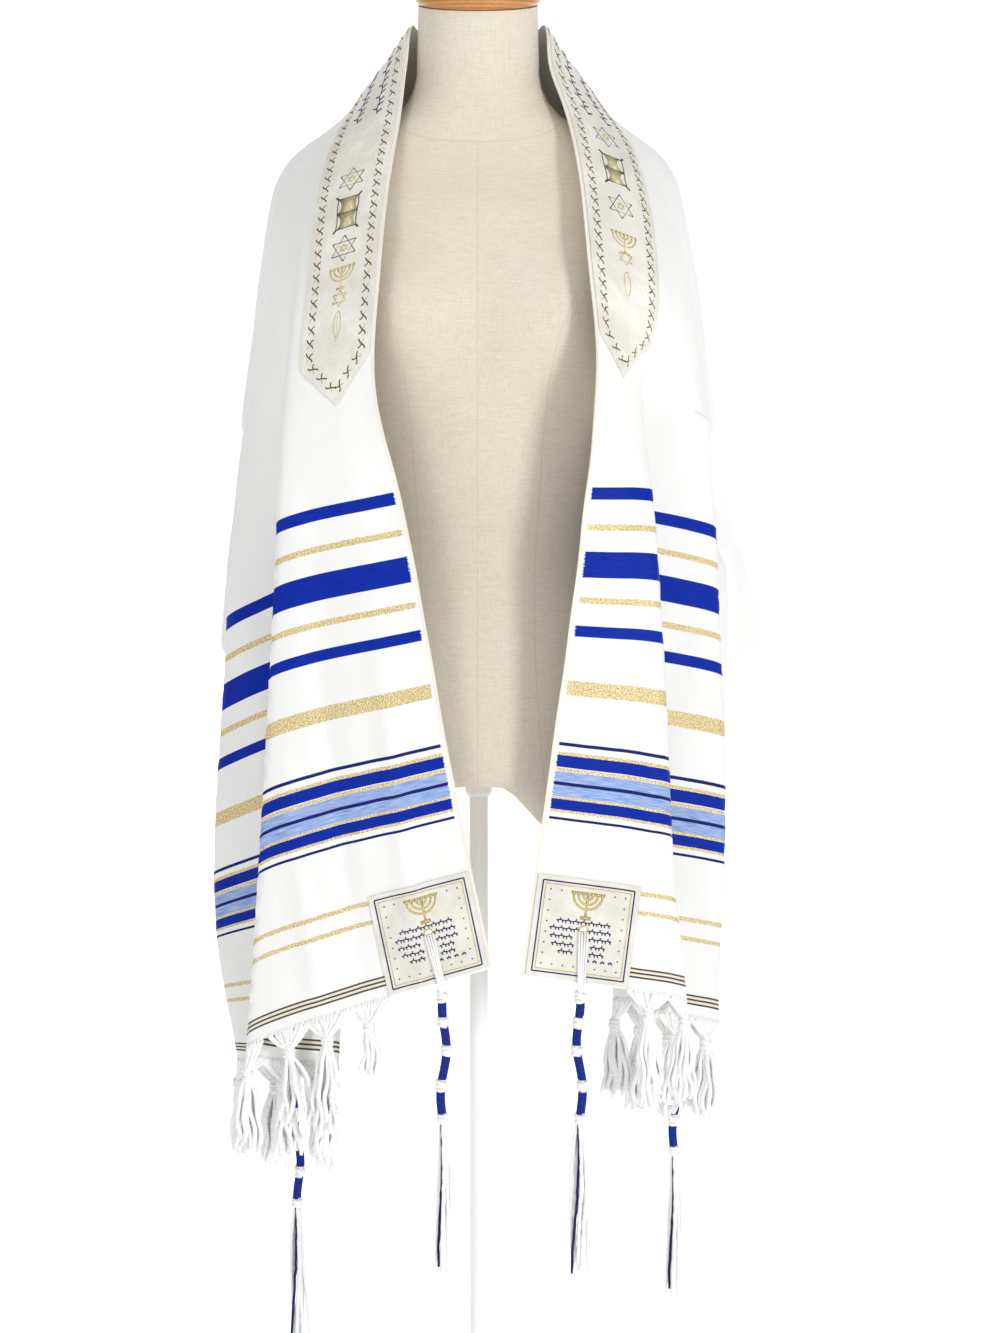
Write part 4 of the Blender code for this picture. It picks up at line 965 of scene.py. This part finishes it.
# %% Gather threads in one mesh
class Threads:
    """Collects tubes and stitches, and builds one object from them."""

    def __init__(self):
        self.points, self.faces, self.flat, self.paints = [], [], [], []

    def loft(self, rings, along, paint=0):
        """Skin between rings of points in mm, closed at both ends. along is each ring's distance."""
        first, sides = len(self.points), len(rings[0])
        for ring in rings:
            self.points.extend(ring)
        for i in range(len(rings) - 1):
            for k in range(sides):
                m = (k + 1) % sides
                a, b = first + i * sides, first + (i + 1) * sides
                self.faces.append((a + k, a + m, b + m, b + k))
                low, high = along[i] * MM, along[i + 1] * MM
                self.flat.append(((k / sides, low), ((k + 1) / sides, low), ((k + 1) / sides, high), (k / sides, high)))
                self.paints.append(paint)
        for start, order in ((0, range(sides - 1, -1, -1)), (len(rings) - 1, range(sides))):
            self.faces.append(tuple(first + start * sides + k for k in order))
            self.flat.append(tuple((k / sides, along[start] * MM) for k in order))
            self.paints.append(paint)

    def tube(self, path, radii, sides=6, paint=0):
        path = [np.array(p, float) for p in path]
        radii = [radii] * len(path) if isinstance(radii, (int, float)) else radii
        rings, along, across = [], [0.0], None
        for i, point in enumerate(path):
            ahead = unit(path[min(i + 1, len(path) - 1)] - path[max(i - 1, 0)])
            if across is None:
                across = np.cross(ahead, (0.3, 1.0, 0.1) if abs(ahead[1]) < 0.9 else (1.0, 0.2, 0.1))
            across = unit(across - ahead * float(np.dot(across, ahead)))
            other = np.cross(ahead, across)
            turns = [2 * math.pi * k / sides for k in range(sides)]
            rings.append([point + (across * math.cos(t) + other * math.sin(t)) * radii[i] for t in turns])
            if i:
                along.append(along[-1] + float(np.linalg.norm(point - path[i - 1])))
        self.loft(rings, along, paint)

    def stitch(self, path, width, place, height=0.3, paint=0):
        """A raised line of thread along a flat path. place puts a flat point on the cloth."""
        path = [np.array(p, float) for p in path]
        rings, along = [], [0.0]
        for i, point in enumerate(path):
            ahead = unit(path[min(i + 1, len(path) - 1)] - path[max(i - 1, 0)])
            side = np.array([-ahead[1], ahead[0]]) * width / 2
            left, right = point + side, point - side
            rings.append([place(*left, 0.0), place(*point, height), place(*right, 0.0), place(*point, -0.2)])
            if i:
                along.append(along[-1] + float(np.linalg.norm(point - path[i - 1])))
        self.loft(rings, along, paint)

    def build(self, name, materials):
        mesh = bpy.data.meshes.new(name)
        mesh.from_pydata([tuple(float(c) * MM for c in p) for p in self.points], [], self.faces)
        layer = mesh.uv_layers.new(name="thread")
        for face, flat, paint in zip(mesh.polygons, self.flat, self.paints):
            face.material_index = paint
            face.use_smooth = True
            for loop, uv in zip(face.loop_indices, flat):
                layer.data[loop].uv = uv
        shaped = bmesh.new()
        shaped.from_mesh(mesh)
        bmesh.ops.recalc_face_normals(shaped, faces=shaped.faces)
        shaped.to_mesh(mesh)
        shaped.free()
        for material in materials:
            mesh.materials.append(material)
        piece = bpy.data.objects.new(name, mesh)
        bpy.context.scene.collection.objects.link(piece)
        return piece


print("threads are gathered by", Threads.__name__)

# %% Embroidery threads
# Viscose embroidery thread has a silky shine, and lurex is a gold film wound round a core.
EmbroideryThread = namedtuple("EmbroideryThread", "name dark light roughness metallic")

THREADS = (
    EmbroideryThread("navy viscose thread", "#141C4E", "#27367F", 0.45, 0.0),
    EmbroideryThread("gold lurex thread", "#B99B45", "#F2E6A4", 0.35, 0.5),
    EmbroideryThread("olive viscose thread", "#37331F", "#6A6340", 0.5, 0.0),
    EmbroideryThread("pale gold satin stitch", "#B9AE82", "#DED7B0", 0.42, 0.2),
)
NAVY, GOLD, OLIVE, PALE = range(4)

embroidery_threads = []
for thread in THREADS:
    material, shader = new_material(thread.name)
    place = add_node(material, "ShaderNodeTexCoord").outputs["Object"]
    fibre = add_node(material, "ShaderNodeTexNoise", inputs={"Vector": place, "Scale": 700.0, "Detail": 2.0})
    tone = add_node(material, "ShaderNodeMix", {"data_type": "RGBA"}, {
        0: fibre.outputs["Fac"], 6: linear(thread.dark), 7: linear(thread.light)})
    bump = add_node(material, "ShaderNodeBump", inputs={
        "Height": fibre.outputs["Fac"], "Strength": 0.3, "Distance": 0.0002})
    connect(material, tone.outputs[2], shader.inputs["Base Color"])
    connect(material, bump.outputs[0], shader.inputs["Normal"])
    shader.inputs["Roughness"].default_value = thread.roughness
    shader.inputs["Metallic"].default_value = thread.metallic
    embroidery_threads.append(material)
print("embroidery threads:", [material.name for material in embroidery_threads])


# %% [markdown]
# ## Motifs
#
# Traditional motifs are drawn here from plain geometry: a six-pointed star is two triangles, a
# seven-branched lamp is three half circles on a stem, a scroll is two satin-stitched fields between
# rollers. Each is drawn round its own middle in millimetres with y up, and a placing function lays
# it on the cloth. Where the photograph shows lettering there are rows of small leaf sprigs.

# %% Placing a motif on the cloth
def placed(side, u, v, turn=0.0):
    """A function that lays flat (x, y) points round this place, with y towards the neck."""
    c, s = math.cos(math.radians(turn)), math.sin(math.radians(turn))

    def place(x, y, lift):
        right, up = x * c - y * s, x * s + y * c
        return on_cloth(side * (u - up), v + side * right, PANEL_FACE + lift)

    return place


def arc(radius, start, end, steps, centre=(0, 0)):
    angles = np.radians(np.linspace(start, end, steps + 1))
    return [(centre[0] + radius * math.cos(a), centre[1] + radius * math.sin(a)) for a in angles]


def star(threads, place, radius, width, paint):
    for first in (90, 270):
        corners = [(radius * math.cos(math.radians(first + 120 * k)), radius * math.sin(math.radians(first + 120 * k)))
                   for k in range(4)]
        for a, b in zip(corners, corners[1:]):
            threads.stitch([a, b], width, place, paint=paint)


def lamp(threads, place, span, width, paint):
    """A seven-branched lamp."""
    for k in (1, 2, 3):
        threads.stitch(arc(span / 6 * k, 180, 360, 10), width, place, paint=paint)
    threads.stitch([(0, span * 0.02), (0, -span * 0.78)], width * 1.2, place, paint=paint)
    threads.stitch([(-span * 0.18, -span * 0.8), (span * 0.18, -span * 0.8)], width * 1.6, place, paint=paint)
    for k in range(-3, 4):
        threads.stitch([(k * span / 6, -span * 0.01), (k * span / 6, span * 0.1)], width * 1.9, place, paint=paint)


SCROLL_WIDTH, SCROLL_LENGTH = 17.0, 29.0


def scroll(threads, place):
    """An open scroll: two satin-stitched fields between rollers."""
    half, reach = SCROLL_WIDTH / 2, SCROLL_LENGTH / 2
    for low, high in ((-reach, -0.4), (0.4, reach)):
        threads.stitch([(0, low), (0, high)], SCROLL_WIDTH - 1, place, height=0.3, paint=PALE)
    for x in (-half, half):
        line = [(x, -reach), (x * 0.94, -reach / 2), (x, 0), (x * 1.05, reach / 2), (x, reach)]
        threads.stitch(line, 0.9, place, 0.45, OLIVE)
    for y in (-reach, 0, reach):
        threads.stitch([(-half, y), (half, y)], 0.9, place, 0.45, OLIVE)
    for x in (-half, half):
        for y in (-reach, reach):
            knob = (x + math.copysign(2.2, x), y + math.copysign(2.6, y))
            threads.stitch([(x, y), knob], 1.8, place, 0.4, OLIVE)


def sprig(threads, place, size, paint, least=0.9):
    """A small leaf sprig: a bent stem with leaves in turn on either side. least is the thinnest stitch."""
    stem, blade = max(size * 0.16, least), max(size * 0.28, least)
    threads.stitch([(-size, -size * 0.1), (0, size * 0.12), (size, -size * 0.05)], stem, place, paint=paint)
    for k, x in enumerate((-0.7, -0.1, 0.5)):
        tip = 0.7 if k % 2 else -0.7
        threads.stitch([(x * size, 0), ((x + 0.25) * size, tip * size)], blade, place, paint=paint)


def leaf(threads, place, size, paint):
    for bulge in (-1, 1):
        outline = [(bulge * size * 0.28 * math.sin(t), size * math.cos(t)) for t in np.linspace(0, math.pi, 8)]
        threads.stitch(outline, 0.7, place, paint=paint)
    threads.stitch([(0, size * 0.7), (0, -size * 1.3)], 0.6, place, paint=paint)


print("motifs: star, lamp, scroll, sprig, leaf")

# %% Border of the neckband
VINE_REPEAT = 10.4
BORDER_INSET = 7.5

near, far = NEAR_EDGE + BORDER_INSET, BAND_FAR - BORDER_INSET
point_inset = BORDER_INSET + 2.5
left_tip, right_tip = -BAND_TIPS[-1] + point_inset, BAND_TIPS[1] - point_inset
left_turn, right_turn = -BAND_TIPS[-1] + BAND_POINT + 3, BAND_TIPS[1] - BAND_POINT - 3
border = [(left_tip, band_middle), (left_turn, far), (right_turn, far), (right_tip, band_middle),
          (right_turn, near), (left_turn, near), (left_tip, band_middle)]

band_embroidery = Threads()
for (u1, v1), (u2, v2) in zip(border, border[1:]):
    length = math.hypot(u2 - u1, v2 - v1)
    count = max(2, round(length / VINE_REPEAT))
    ahead = np.array([(u2 - u1) / length, (v2 - v1) / length])
    aside = np.array([-ahead[1], ahead[0]])
    for k in range(count):
        centre = np.array([u1, v1]) + ahead * length * (k + 0.5) / count

        def vine(x, y, lift, centre=centre, ahead=ahead, aside=aside):
            return on_cloth(*(centre + ahead * x + aside * y), PANEL_FACE + lift)

        band_embroidery.stitch([(-4.0, -2.6), (-2.0, -1.8), (0, 0), (2.0, 2.2), (4.0, 2.8)], 1.1, vine, paint=OLIVE)
        band_embroidery.stitch([(0.2, 0.1), (2.0, -1.2), (2.8, -3.0)], 1.1, vine, paint=OLIVE)
        band_embroidery.stitch([(-0.6, -0.2), (-2.0, 1.4), (-3.2, 2.0)], 0.8, vine, paint=GOLD)
print("border motifs done:", len(band_embroidery.faces), "faces")

# %% Middle of the neckband
BandMotif = namedtuple("BandMotif", "kind left right")

# Distance from the middle of the back to each motif, on the left and the right end of the band.
BAND_MOTIFS = (
    BandMotif("star", 231, 183),
    BandMotif("scroll", 264, 220),
    BandMotif("star", 297, 257),
    BandMotif("lamp", 315, 284),
    BandMotif("small star", 339, 304),
    BandMotif("leaf", 359, 326),
)
STAR_RADIUS, SMALL_STAR_RADIUS, LAMP_SPAN, LEAF_SIZE = 11.5, 6.5, 20.0, 10.0
SPRIG_ROWS = {23.5: (24, 64, 104, 144), 42.0: (24, 64, 104, 144)}
SPRIG_SIZE, SPRIG_STEPS = 6.5, (-13, 0, 13)

for motif in BAND_MOTIFS:
    for side, u in ((-1, motif.left), (1, motif.right)):
        place = placed(side, u, band_middle)
        if motif.kind == "star":
            star(band_embroidery, place, STAR_RADIUS, 0.9, OLIVE)
            star(band_embroidery, place, STAR_RADIUS * 0.3, 0.6, GOLD)
        elif motif.kind == "small star":
            star(band_embroidery, place, SMALL_STAR_RADIUS, 0.8, GOLD)
        elif motif.kind == "scroll":
            scroll(band_embroidery, place)
        elif motif.kind == "lamp":
            lamp(band_embroidery, place, LAMP_SPAN, 1.2, GOLD)
        else:
            leaf(band_embroidery, place, LEAF_SIZE, GOLD)
for v, distances in SPRIG_ROWS.items():
    for side in (-1, 1):
        for u in distances:
            for step in SPRIG_STEPS:
                sprig(band_embroidery, placed(side, u + step, v, 90), SPRIG_SIZE, NAVY)
neckband_stitching = band_embroidery.build("neckband_embroidery", embroidery_threads)
settle(neckband_stitching, "ivory_satin")

# %% [markdown]
# ## Patch embroidery
#
# Each patch has a double frame, a row of dots inside it, a gold lamp at the top, and rows of small
# navy work where the photograph has lettering. A ring of gold thread binds the eyelet.

# %% Stitch the patches
FRAME_INSET, INNER_FRAME_INSET, DOT_INSET = 4.5, 7.0, 11.5
DOT_SPACING = 9.5
PATCH_LAMP_UP, PATCH_LAMP_SPAN = 29.5, 24.0
WORK_ROWS = ((6.5, 20.0), (0.0, 25.0), (-6.5, 24.0), (-13.0, 22.0), (-19.0, 16.0), (-24.5, 26.0))
EYELET_RADIUS = 2.8
STRINGS_HALF = 5.5
patch_half = (PATCH_FAR - NEAR_EDGE) / 2
patch_middle_u = PATCH_TOP + PATCH_SIDE / 2


def eyelet_v(corner):
    return NEAR_EDGE + patch_half if corner.front else CLOTH_WIDTH - NEAR_EDGE - patch_half


def square(threads, place, half, width, paint, pieces=24):
    corners = [(-half, -half), (half, -half), (half, half), (-half, half), (-half, -half)]
    for (x1, y1), (x2, y2) in zip(corners, corners[1:]):
        shares = np.linspace(0, 1, pieces + 1)
        line = [(x1 + (x2 - x1) * t, y1 + (y2 - y1) * t) for t in shares]
        threads.stitch(line, width, place, paint=paint)


for corner in CORNERS:
    threads = Threads()
    place = placed(corner.side, patch_middle_u, eyelet_v(corner))
    square(threads, place, patch_half - FRAME_INSET, 1.3, NAVY)
    square(threads, place, patch_half - INNER_FRAME_INSET, 0.8, GOLD)
    half = patch_half - DOT_INSET
    for k in np.arange(-half, half + 0.1, 2 * half / round(2 * half / DOT_SPACING)):
        for x, y in ((k, half), (k, -half), (half, k), (-half, k)):
            threads.stitch([(x - 0.6, y), (x + 0.6, y)], 1.2, place, paint=OLIVE)
    place_lamp = placed(corner.side, patch_middle_u - PATCH_LAMP_UP, eyelet_v(corner))
    lamp(threads, place_lamp, PATCH_LAMP_SPAN, 1.9, GOLD)
    for y, reach in WORK_ROWS:
        for x in np.arange(-reach, reach + 0.1, 6.4):
            under_strings = y < 4 and abs(x) < STRINGS_HALF
            if under_strings or (y == WORK_ROWS[-1][0] and x < 0):
                continue
            shift = placed(corner.side, patch_middle_u - y, eyelet_v(corner) + corner.side * x)
            sprig(threads, shift, 3.1 if y > WORK_ROWS[-1][0] else 1.8, NAVY, 1.1)
    ring = [place(x, y, 0.2) for x, y in arc(EYELET_RADIUS + 0.8, 0, 360, 24)]
    threads.tube(ring, 0.7, 6, GOLD)
    piece = threads.build(f"patch_embroidery_{corner.name}", embroidery_threads)
    settle(piece, "ivory_satin")

# %% [markdown]
# ## Cotton yarn
#
# The fringe and the tassels are soft cotton yarn of several plies twisted together. The twist is
# drawn as a slanting wave: turns round the yarn plus distance along it, one turn of the wave for
# each ply. The wave raises each ply in the bump, and the colour is painted darker in the grooves
# between the plies, which is painted shade. A blue-dyed yarn is used for the windings and for one
# strand of each tassel.

# %% Yarn materials
PLIES, PLY_PITCH_MM = 3, 9.0


def yarn_material(name, dark, light, sheen):
    material, shader = new_material(name)
    thread = add_node(material, "ShaderNodeUVMap", {"uv_map": "thread"}).outputs[0]
    parts = add_node(material, "ShaderNodeSeparateXYZ", inputs={0: thread})
    slant = add_node(material, "ShaderNodeMath", {"operation": "MULTIPLY_ADD"}, {
        0: parts.outputs["Y"], 1: 1 / (PLY_PITCH_MM * MM), 2: parts.outputs["X"]})
    phase = add_node(material, "ShaderNodeMath", {"operation": "MULTIPLY"}, {
        0: slant.outputs[0], 1: PLIES * 2 * math.pi})
    twist = add_node(material, "ShaderNodeMath", {"operation": "SINE"}, {0: phase.outputs[0]})
    place = add_node(material, "ShaderNodeTexCoord").outputs["Object"]
    fuzz = add_node(material, "ShaderNodeTexNoise", inputs={"Vector": place, "Scale": 900.0, "Detail": 2.0})
    height = add_node(material, "ShaderNodeMath", {"operation": "MULTIPLY_ADD"}, {
        0: fuzz.outputs["Fac"], 1: 1.2, 2: twist.outputs[0]})
    # Painted shade: the colour is darker where the twist and the fuzz dip, in the grooves between the plies.
    shade = add_node(material, "ShaderNodeMapRange", inputs={"Value": height.outputs[0], 1: -0.6, 2: 1.6})
    tone = add_node(material, "ShaderNodeMix", {"data_type": "RGBA"}, {
        0: shade.outputs[0], 6: linear(dark), 7: linear(light)})
    bump = add_node(material, "ShaderNodeBump", inputs={
        "Height": height.outputs[0], "Strength": 0.35, "Distance": 0.0004})
    connect(material, tone.outputs[2], shader.inputs["Base Color"])
    connect(material, bump.outputs[0], shader.inputs["Normal"])
    shader.inputs["Roughness"].default_value = 0.85
    shader.inputs["Specular IOR Level"].default_value = 0.2
    shader.inputs["Sheen Weight"].default_value = sheen
    return material


white_yarn = yarn_material("twisted white cotton yarn", "#F7F7F5", "#FFFFFF", 0.3)
blue_yarn = yarn_material("twisted blue cotton yarn", "#07176E", "#1A41B4", 0.1)
indigo_yarn = yarn_material("twisted indigo cotton yarn", "#0B1136", "#263063", 0.1)
YARNS = (white_yarn, blue_yarn, indigo_yarn)
WHITE, BLUE, INDIGO = range(3)
print("yarns:", [material.name for material in YARNS])


# %% [markdown]
# ## Fringe
#
# At each short edge the loose ends of the cloth's long threads are gathered, a dozen at a time,
# into a knot just below the hem, and hang from it as a tuft. So each yarn is one tube that starts
# at its own place on the hem, runs in to the knot, and falls away from it.

# %% Fringe table
Tuft = namedtuple("Tuft", "side v length spread lean")

FRINGE_TUFTS = (
    Tuft(-1, 106, 38, 7, 2), Tuft(-1, 142, 76, 10, -2), Tuft(-1, 176, 56, 14, 6), Tuft(-1, 219, 62, 9, 0),
    Tuft(-1, 250, 58, 11, 3), Tuft(-1, 286, 66, 9, -3), Tuft(-1, 322, 54, 12, 2), Tuft(-1, 358, 64, 10, 0),
    Tuft(-1, 394, 58, 11, 4), Tuft(-1, 430, 66, 9, -2),
    Tuft(1, 106, 62, 8, 2), Tuft(1, 142, 60, 9, -1), Tuft(1, 178, 70, 8, -2), Tuft(1, 214, 60, 11, 3),
    Tuft(1, 250, 66, 10, -3), Tuft(1, 286, 56, 12, 0), Tuft(1, 322, 64, 9, 2), Tuft(1, 358, 58, 11, -4),
    Tuft(1, 394, 66, 10, 2), Tuft(1, 430, 60, 9, 0),
)
KNOT_BELOW_HEM = 19.8
YARNS_PER_TUFT = 13
YARN_RADIUS = 1.9
GATHER_HALF = 18.0
CURL, CURL_MM = 1.8, 34.0
FRINGE_SEED = 20


def knot(threads, centre, radius, cord, seed, paint=WHITE):
    """An overhand knot: three loops of cord round the bundle, each tipped another way."""
    for k in range(3):
        tip, turn = 0.45 * math.sin(seed + 2.1 * k), seed + 2.4 * k
        loop = []
        for angle in np.linspace(0, 2 * math.pi, 13):
            x, y = math.cos(angle) * radius, math.sin(angle) * radius * 0.85
            z = (k - 1) * cord * 1.3 + math.cos(angle - turn) * radius * tip
            loop.append(centre + (x, y, z))
        threads.tube(loop, cord, 6, paint)


def hanging(root, lean, length, wave, steps, curl=0.0, phase=0.0):
    """Points of a yarn that leaves the knot at a slant, hangs down and keeps some curl."""
    for k in range(steps + 1):
        t = k / steps
        turn = phase + length * t * 2 * math.pi / CURL_MM
        swing = math.sin(t * math.pi * 1.5) * wave + math.sin(turn) * curl * t
        aside = math.cos(turn) * curl * 0.6 * t
        out = 1 - (1 - t) ** 3
        yield np.array(root, float) + (lean[0] * out + swing, lean[1] * out + aside, -length * t)


print("tufts:", len(FRINGE_TUFTS), "with", YARNS_PER_TUFT, "yarns each")

# %% Knot the fringe
for side, name in ((-1, "left"), (1, "right")):
    random = np.random.default_rng(FRINGE_SEED + side)
    threads = Threads()
    for tuft in [t for t in FRINGE_TUFTS if t.side == side]:
        hem = on_cloth(side * HALF_LENGTH, tuft.v)
        heart = hem + (0, 0, -KNOT_BELOW_HEM)
        for k in range(YARNS_PER_TUFT):
            share = k / (YARNS_PER_TUFT - 1) * 2 - 1
            v = tuft.v + share * GATHER_HALF + random.uniform(-1, 1)
            start = on_cloth(side * (HALF_LENGTH - 2), v, random.uniform(-0.4, 0.4))
            below = on_cloth(side * HALF_LENGTH, v) + (0, 0, -1.5)
            angle = 2 * math.pi * k / YARNS_PER_TUFT * 5
            inner = heart + (math.cos(angle) * 1.8, math.sin(angle) * 1.8, 3.5)
            middle = (below + inner) / 2 + (0, 0, -1.5)
            spread = tuft.spread * random.uniform(0.25, 1.05)
            lean = (math.cos(angle) * spread + tuft.lean, math.sin(angle) * spread * 0.45)
            root = heart + (math.cos(angle) * 1.8, math.sin(angle) * 1.8, -2)
            length = tuft.length * random.uniform(0.86, 1.04)
            phase = tuft.v + random.uniform(-1.6, 1.6)
            tail = list(hanging(root, lean, length, random.uniform(-2, 2), 12, CURL, phase))
            radii = [YARN_RADIUS * r for r in (0.7, 0.85, 0.9, 0.85)]
            radii += [YARN_RADIUS * r for r in np.linspace(0.9, 1.15, len(tail) - 1)] + [YARN_RADIUS * 0.75]
            threads.tube([start, below, middle, inner, *tail], radii, 6, WHITE)
        knot(threads, heart, 3.6, 1.8, random.uniform(0, 6))
    fringe = threads.build(f"yarn_fringe_{name}", YARNS)
    settle(fringe, "white_yarn", f"fringe_{name}")

# %% [markdown]
# ## Corner tassels
#
# From each eyelet hangs a tassel (tzitzit): strings through the eyelet, then five white double
# knots with four blue windings between them, and loose strands below, one of them blue. A winding
# is a helix of thread, which catches the light in fine ribs as a smooth tube never would.

# %% Parts of a tassel
TASSEL_DROP = 6.0
KNOT_HEIGHTS = (1.5, 22.5, 46, 75.5, 103)
WINDINGS = ((6, 18), (27, 41.5), (50.5, 70.5), (80.5, 99))
STEM_LENGTH = 109.0
WIND_RADIUS, WIND_THREAD = 3.3, 0.55
SWAY = 3.2
STRANDS, STRAND_LENGTH, STRAND_RADIUS = 8, 128.0, 1.7
BLUE_STRAND = 5
STRING_OFFSETS = (-3.6, -1.3, 1.1, 3.4)
STRING_RADIUS = 0.95
TASSEL_SEED = 7


def winding(threads, line, start, end):
    """Thread wound closely round the stem from one distance to another."""
    turns = (end - start) / (2 * WIND_THREAD)
    steps = int(turns * 10)
    path = []
    for k in range(steps + 1):
        drop = start + (end - start) * k / steps
        angle = 2 * math.pi * turns * k / steps
        path.append(line(drop) + (math.cos(angle) * WIND_RADIUS, math.sin(angle) * WIND_RADIUS, 0))
    threads.tube(path, WIND_THREAD, 5, BLUE)


def make_tassel(corner):
    random = np.random.default_rng(TASSEL_SEED + len(corner.name))
    threads = Threads()
    u, v = corner.side * patch_middle_u, eyelet_v(corner)
    hem_u, hem_v = corner.side * HALF_LENGTH, v + corner.drift
    hem = on_cloth(hem_u, hem_v)
    down = unit(hem - on_cloth(hem_u - corner.side * 10, hem_v))
    top = hem + down * 4 + (0, 0, -TASSEL_DROP)
    sway = random.uniform(0, 6)

    def line(drop):
        share = min(drop / STEM_LENGTH, 1.0)
        return top + (SWAY * math.sin(sway + share * 7) * math.sin(share * math.pi), 0, -drop)

    for offset in STRING_OFFSETS:
        front = [on_cloth(u + (hem_u - u) * t, v + (hem_v - v) * t + offset * (1 - t * 0.3),
                          PANEL_FACE + 1.5 + 0.3 * math.sin(t * 5 + offset)) for t in (0.03, 0.3, 0.6, 0.85, 1.0)]
        back = [on_cloth(u + (hem_u - u) * t, v + (hem_v - v) * t + offset * (1 - t * 0.3), -1.9)
                for t in (1.0, 0.75, 0.4, 0.05)]
        hole = on_cloth(u + corner.side * 1.5, v + offset * 0.6, 0)
        threads.tube([hole, *front, front[-1] + down * 2, line(3)], STRING_RADIUS, 6, WHITE)
        threads.tube([line(3), back[0] + down * 2, *back, hole], 0.85, 6, WHITE)
    threads.tube([line(d) for d in np.linspace(-1, STEM_LENGTH, 30)], 2.6, 8, WHITE)
    for drop in KNOT_HEIGHTS:
        knot(threads, line(drop), 3.4, 1.8, random.uniform(0, 6))
    for start, end in WINDINGS:
        winding(threads, line, start, end)
    for k in range(STRANDS):
        angle = 2 * math.pi * k / STRANDS
        root = line(STEM_LENGTH) + (math.cos(angle) * 1.5, math.sin(angle) * 1.5, 3)
        reach = random.uniform(2.0, 7.0)
        lean = (math.cos(angle) * reach, math.sin(angle) * reach)
        strand = list(hanging(root, lean, STRAND_LENGTH * random.uniform(0.9, 1.02), random.uniform(-2.5, 2.5), 22))
        wobble = [(random.uniform(-0.35, 0.35), random.uniform(-0.35, 0.35), 0) for _ in strand]
        strand = [p + w for p, w in zip(strand, wobble)]
        blue = k == BLUE_STRAND
        thick = STRAND_RADIUS * (0.7 if blue else 1.0)
        threads.tube(strand, [thick] * (len(strand) - 1) + [thick * 0.8], 6, INDIGO if blue else WHITE)
    return threads.build(f"tassel_threads_{corner.name}", YARNS)


print("a winding has up to", round((WINDINGS[-1][1] - WINDINGS[-1][0]) / (2 * WIND_THREAD)), "turns")

# %% Make the four tassels
for corner in CORNERS:
    tassel = make_tassel(corner)
    settle(tassel, "white_yarn", f"tassel_{corner.name}")

# %% [markdown]
# ## Eyelets
#
# Each tassel's strings pass through a hole in the patch and the cloth. One cutter with four round
# pins, standing square to the cloth at each corner, opens all the holes at once.

# %% Cut the eyelets
cutters = []
for corner in CORNERS:
    centre = on_cloth(corner.side * patch_middle_u, eyelet_v(corner))
    outward = on_cloth(corner.side * patch_middle_u, eyelet_v(corner), 1) - centre
    bpy.ops.object.select_all(action="DESELECT")
    bpy.ops.mesh.primitive_cylinder_add(
        vertices=24, radius=EYELET_RADIUS * MM, depth=12 * MM, location=Vector(centre) * MM,
        rotation=Vector(outward).to_track_quat("Z", "Y").to_euler()
    )
    cutters.append(bpy.context.object)
for piece, pins in ((shawl, cutters), *[(patches[c.name], [pin]) for c, pin in zip(CORNERS, cutters)]):
    bpy.ops.object.select_all(action="DESELECT")
    piece.select_set(True)
    bpy.context.view_layer.objects.active = piece
    for pin in pins:
        hole = piece.modifiers.new("eyelet", "BOOLEAN")
        hole.operation = "DIFFERENCE"
        hole.solver = "EXACT"
        hole.object = pin
        bpy.ops.object.modifier_apply(modifier=hole.name)
for pin in cutters:
    bpy.data.objects.remove(pin)
print("eyelets cut:", len(CORNERS))
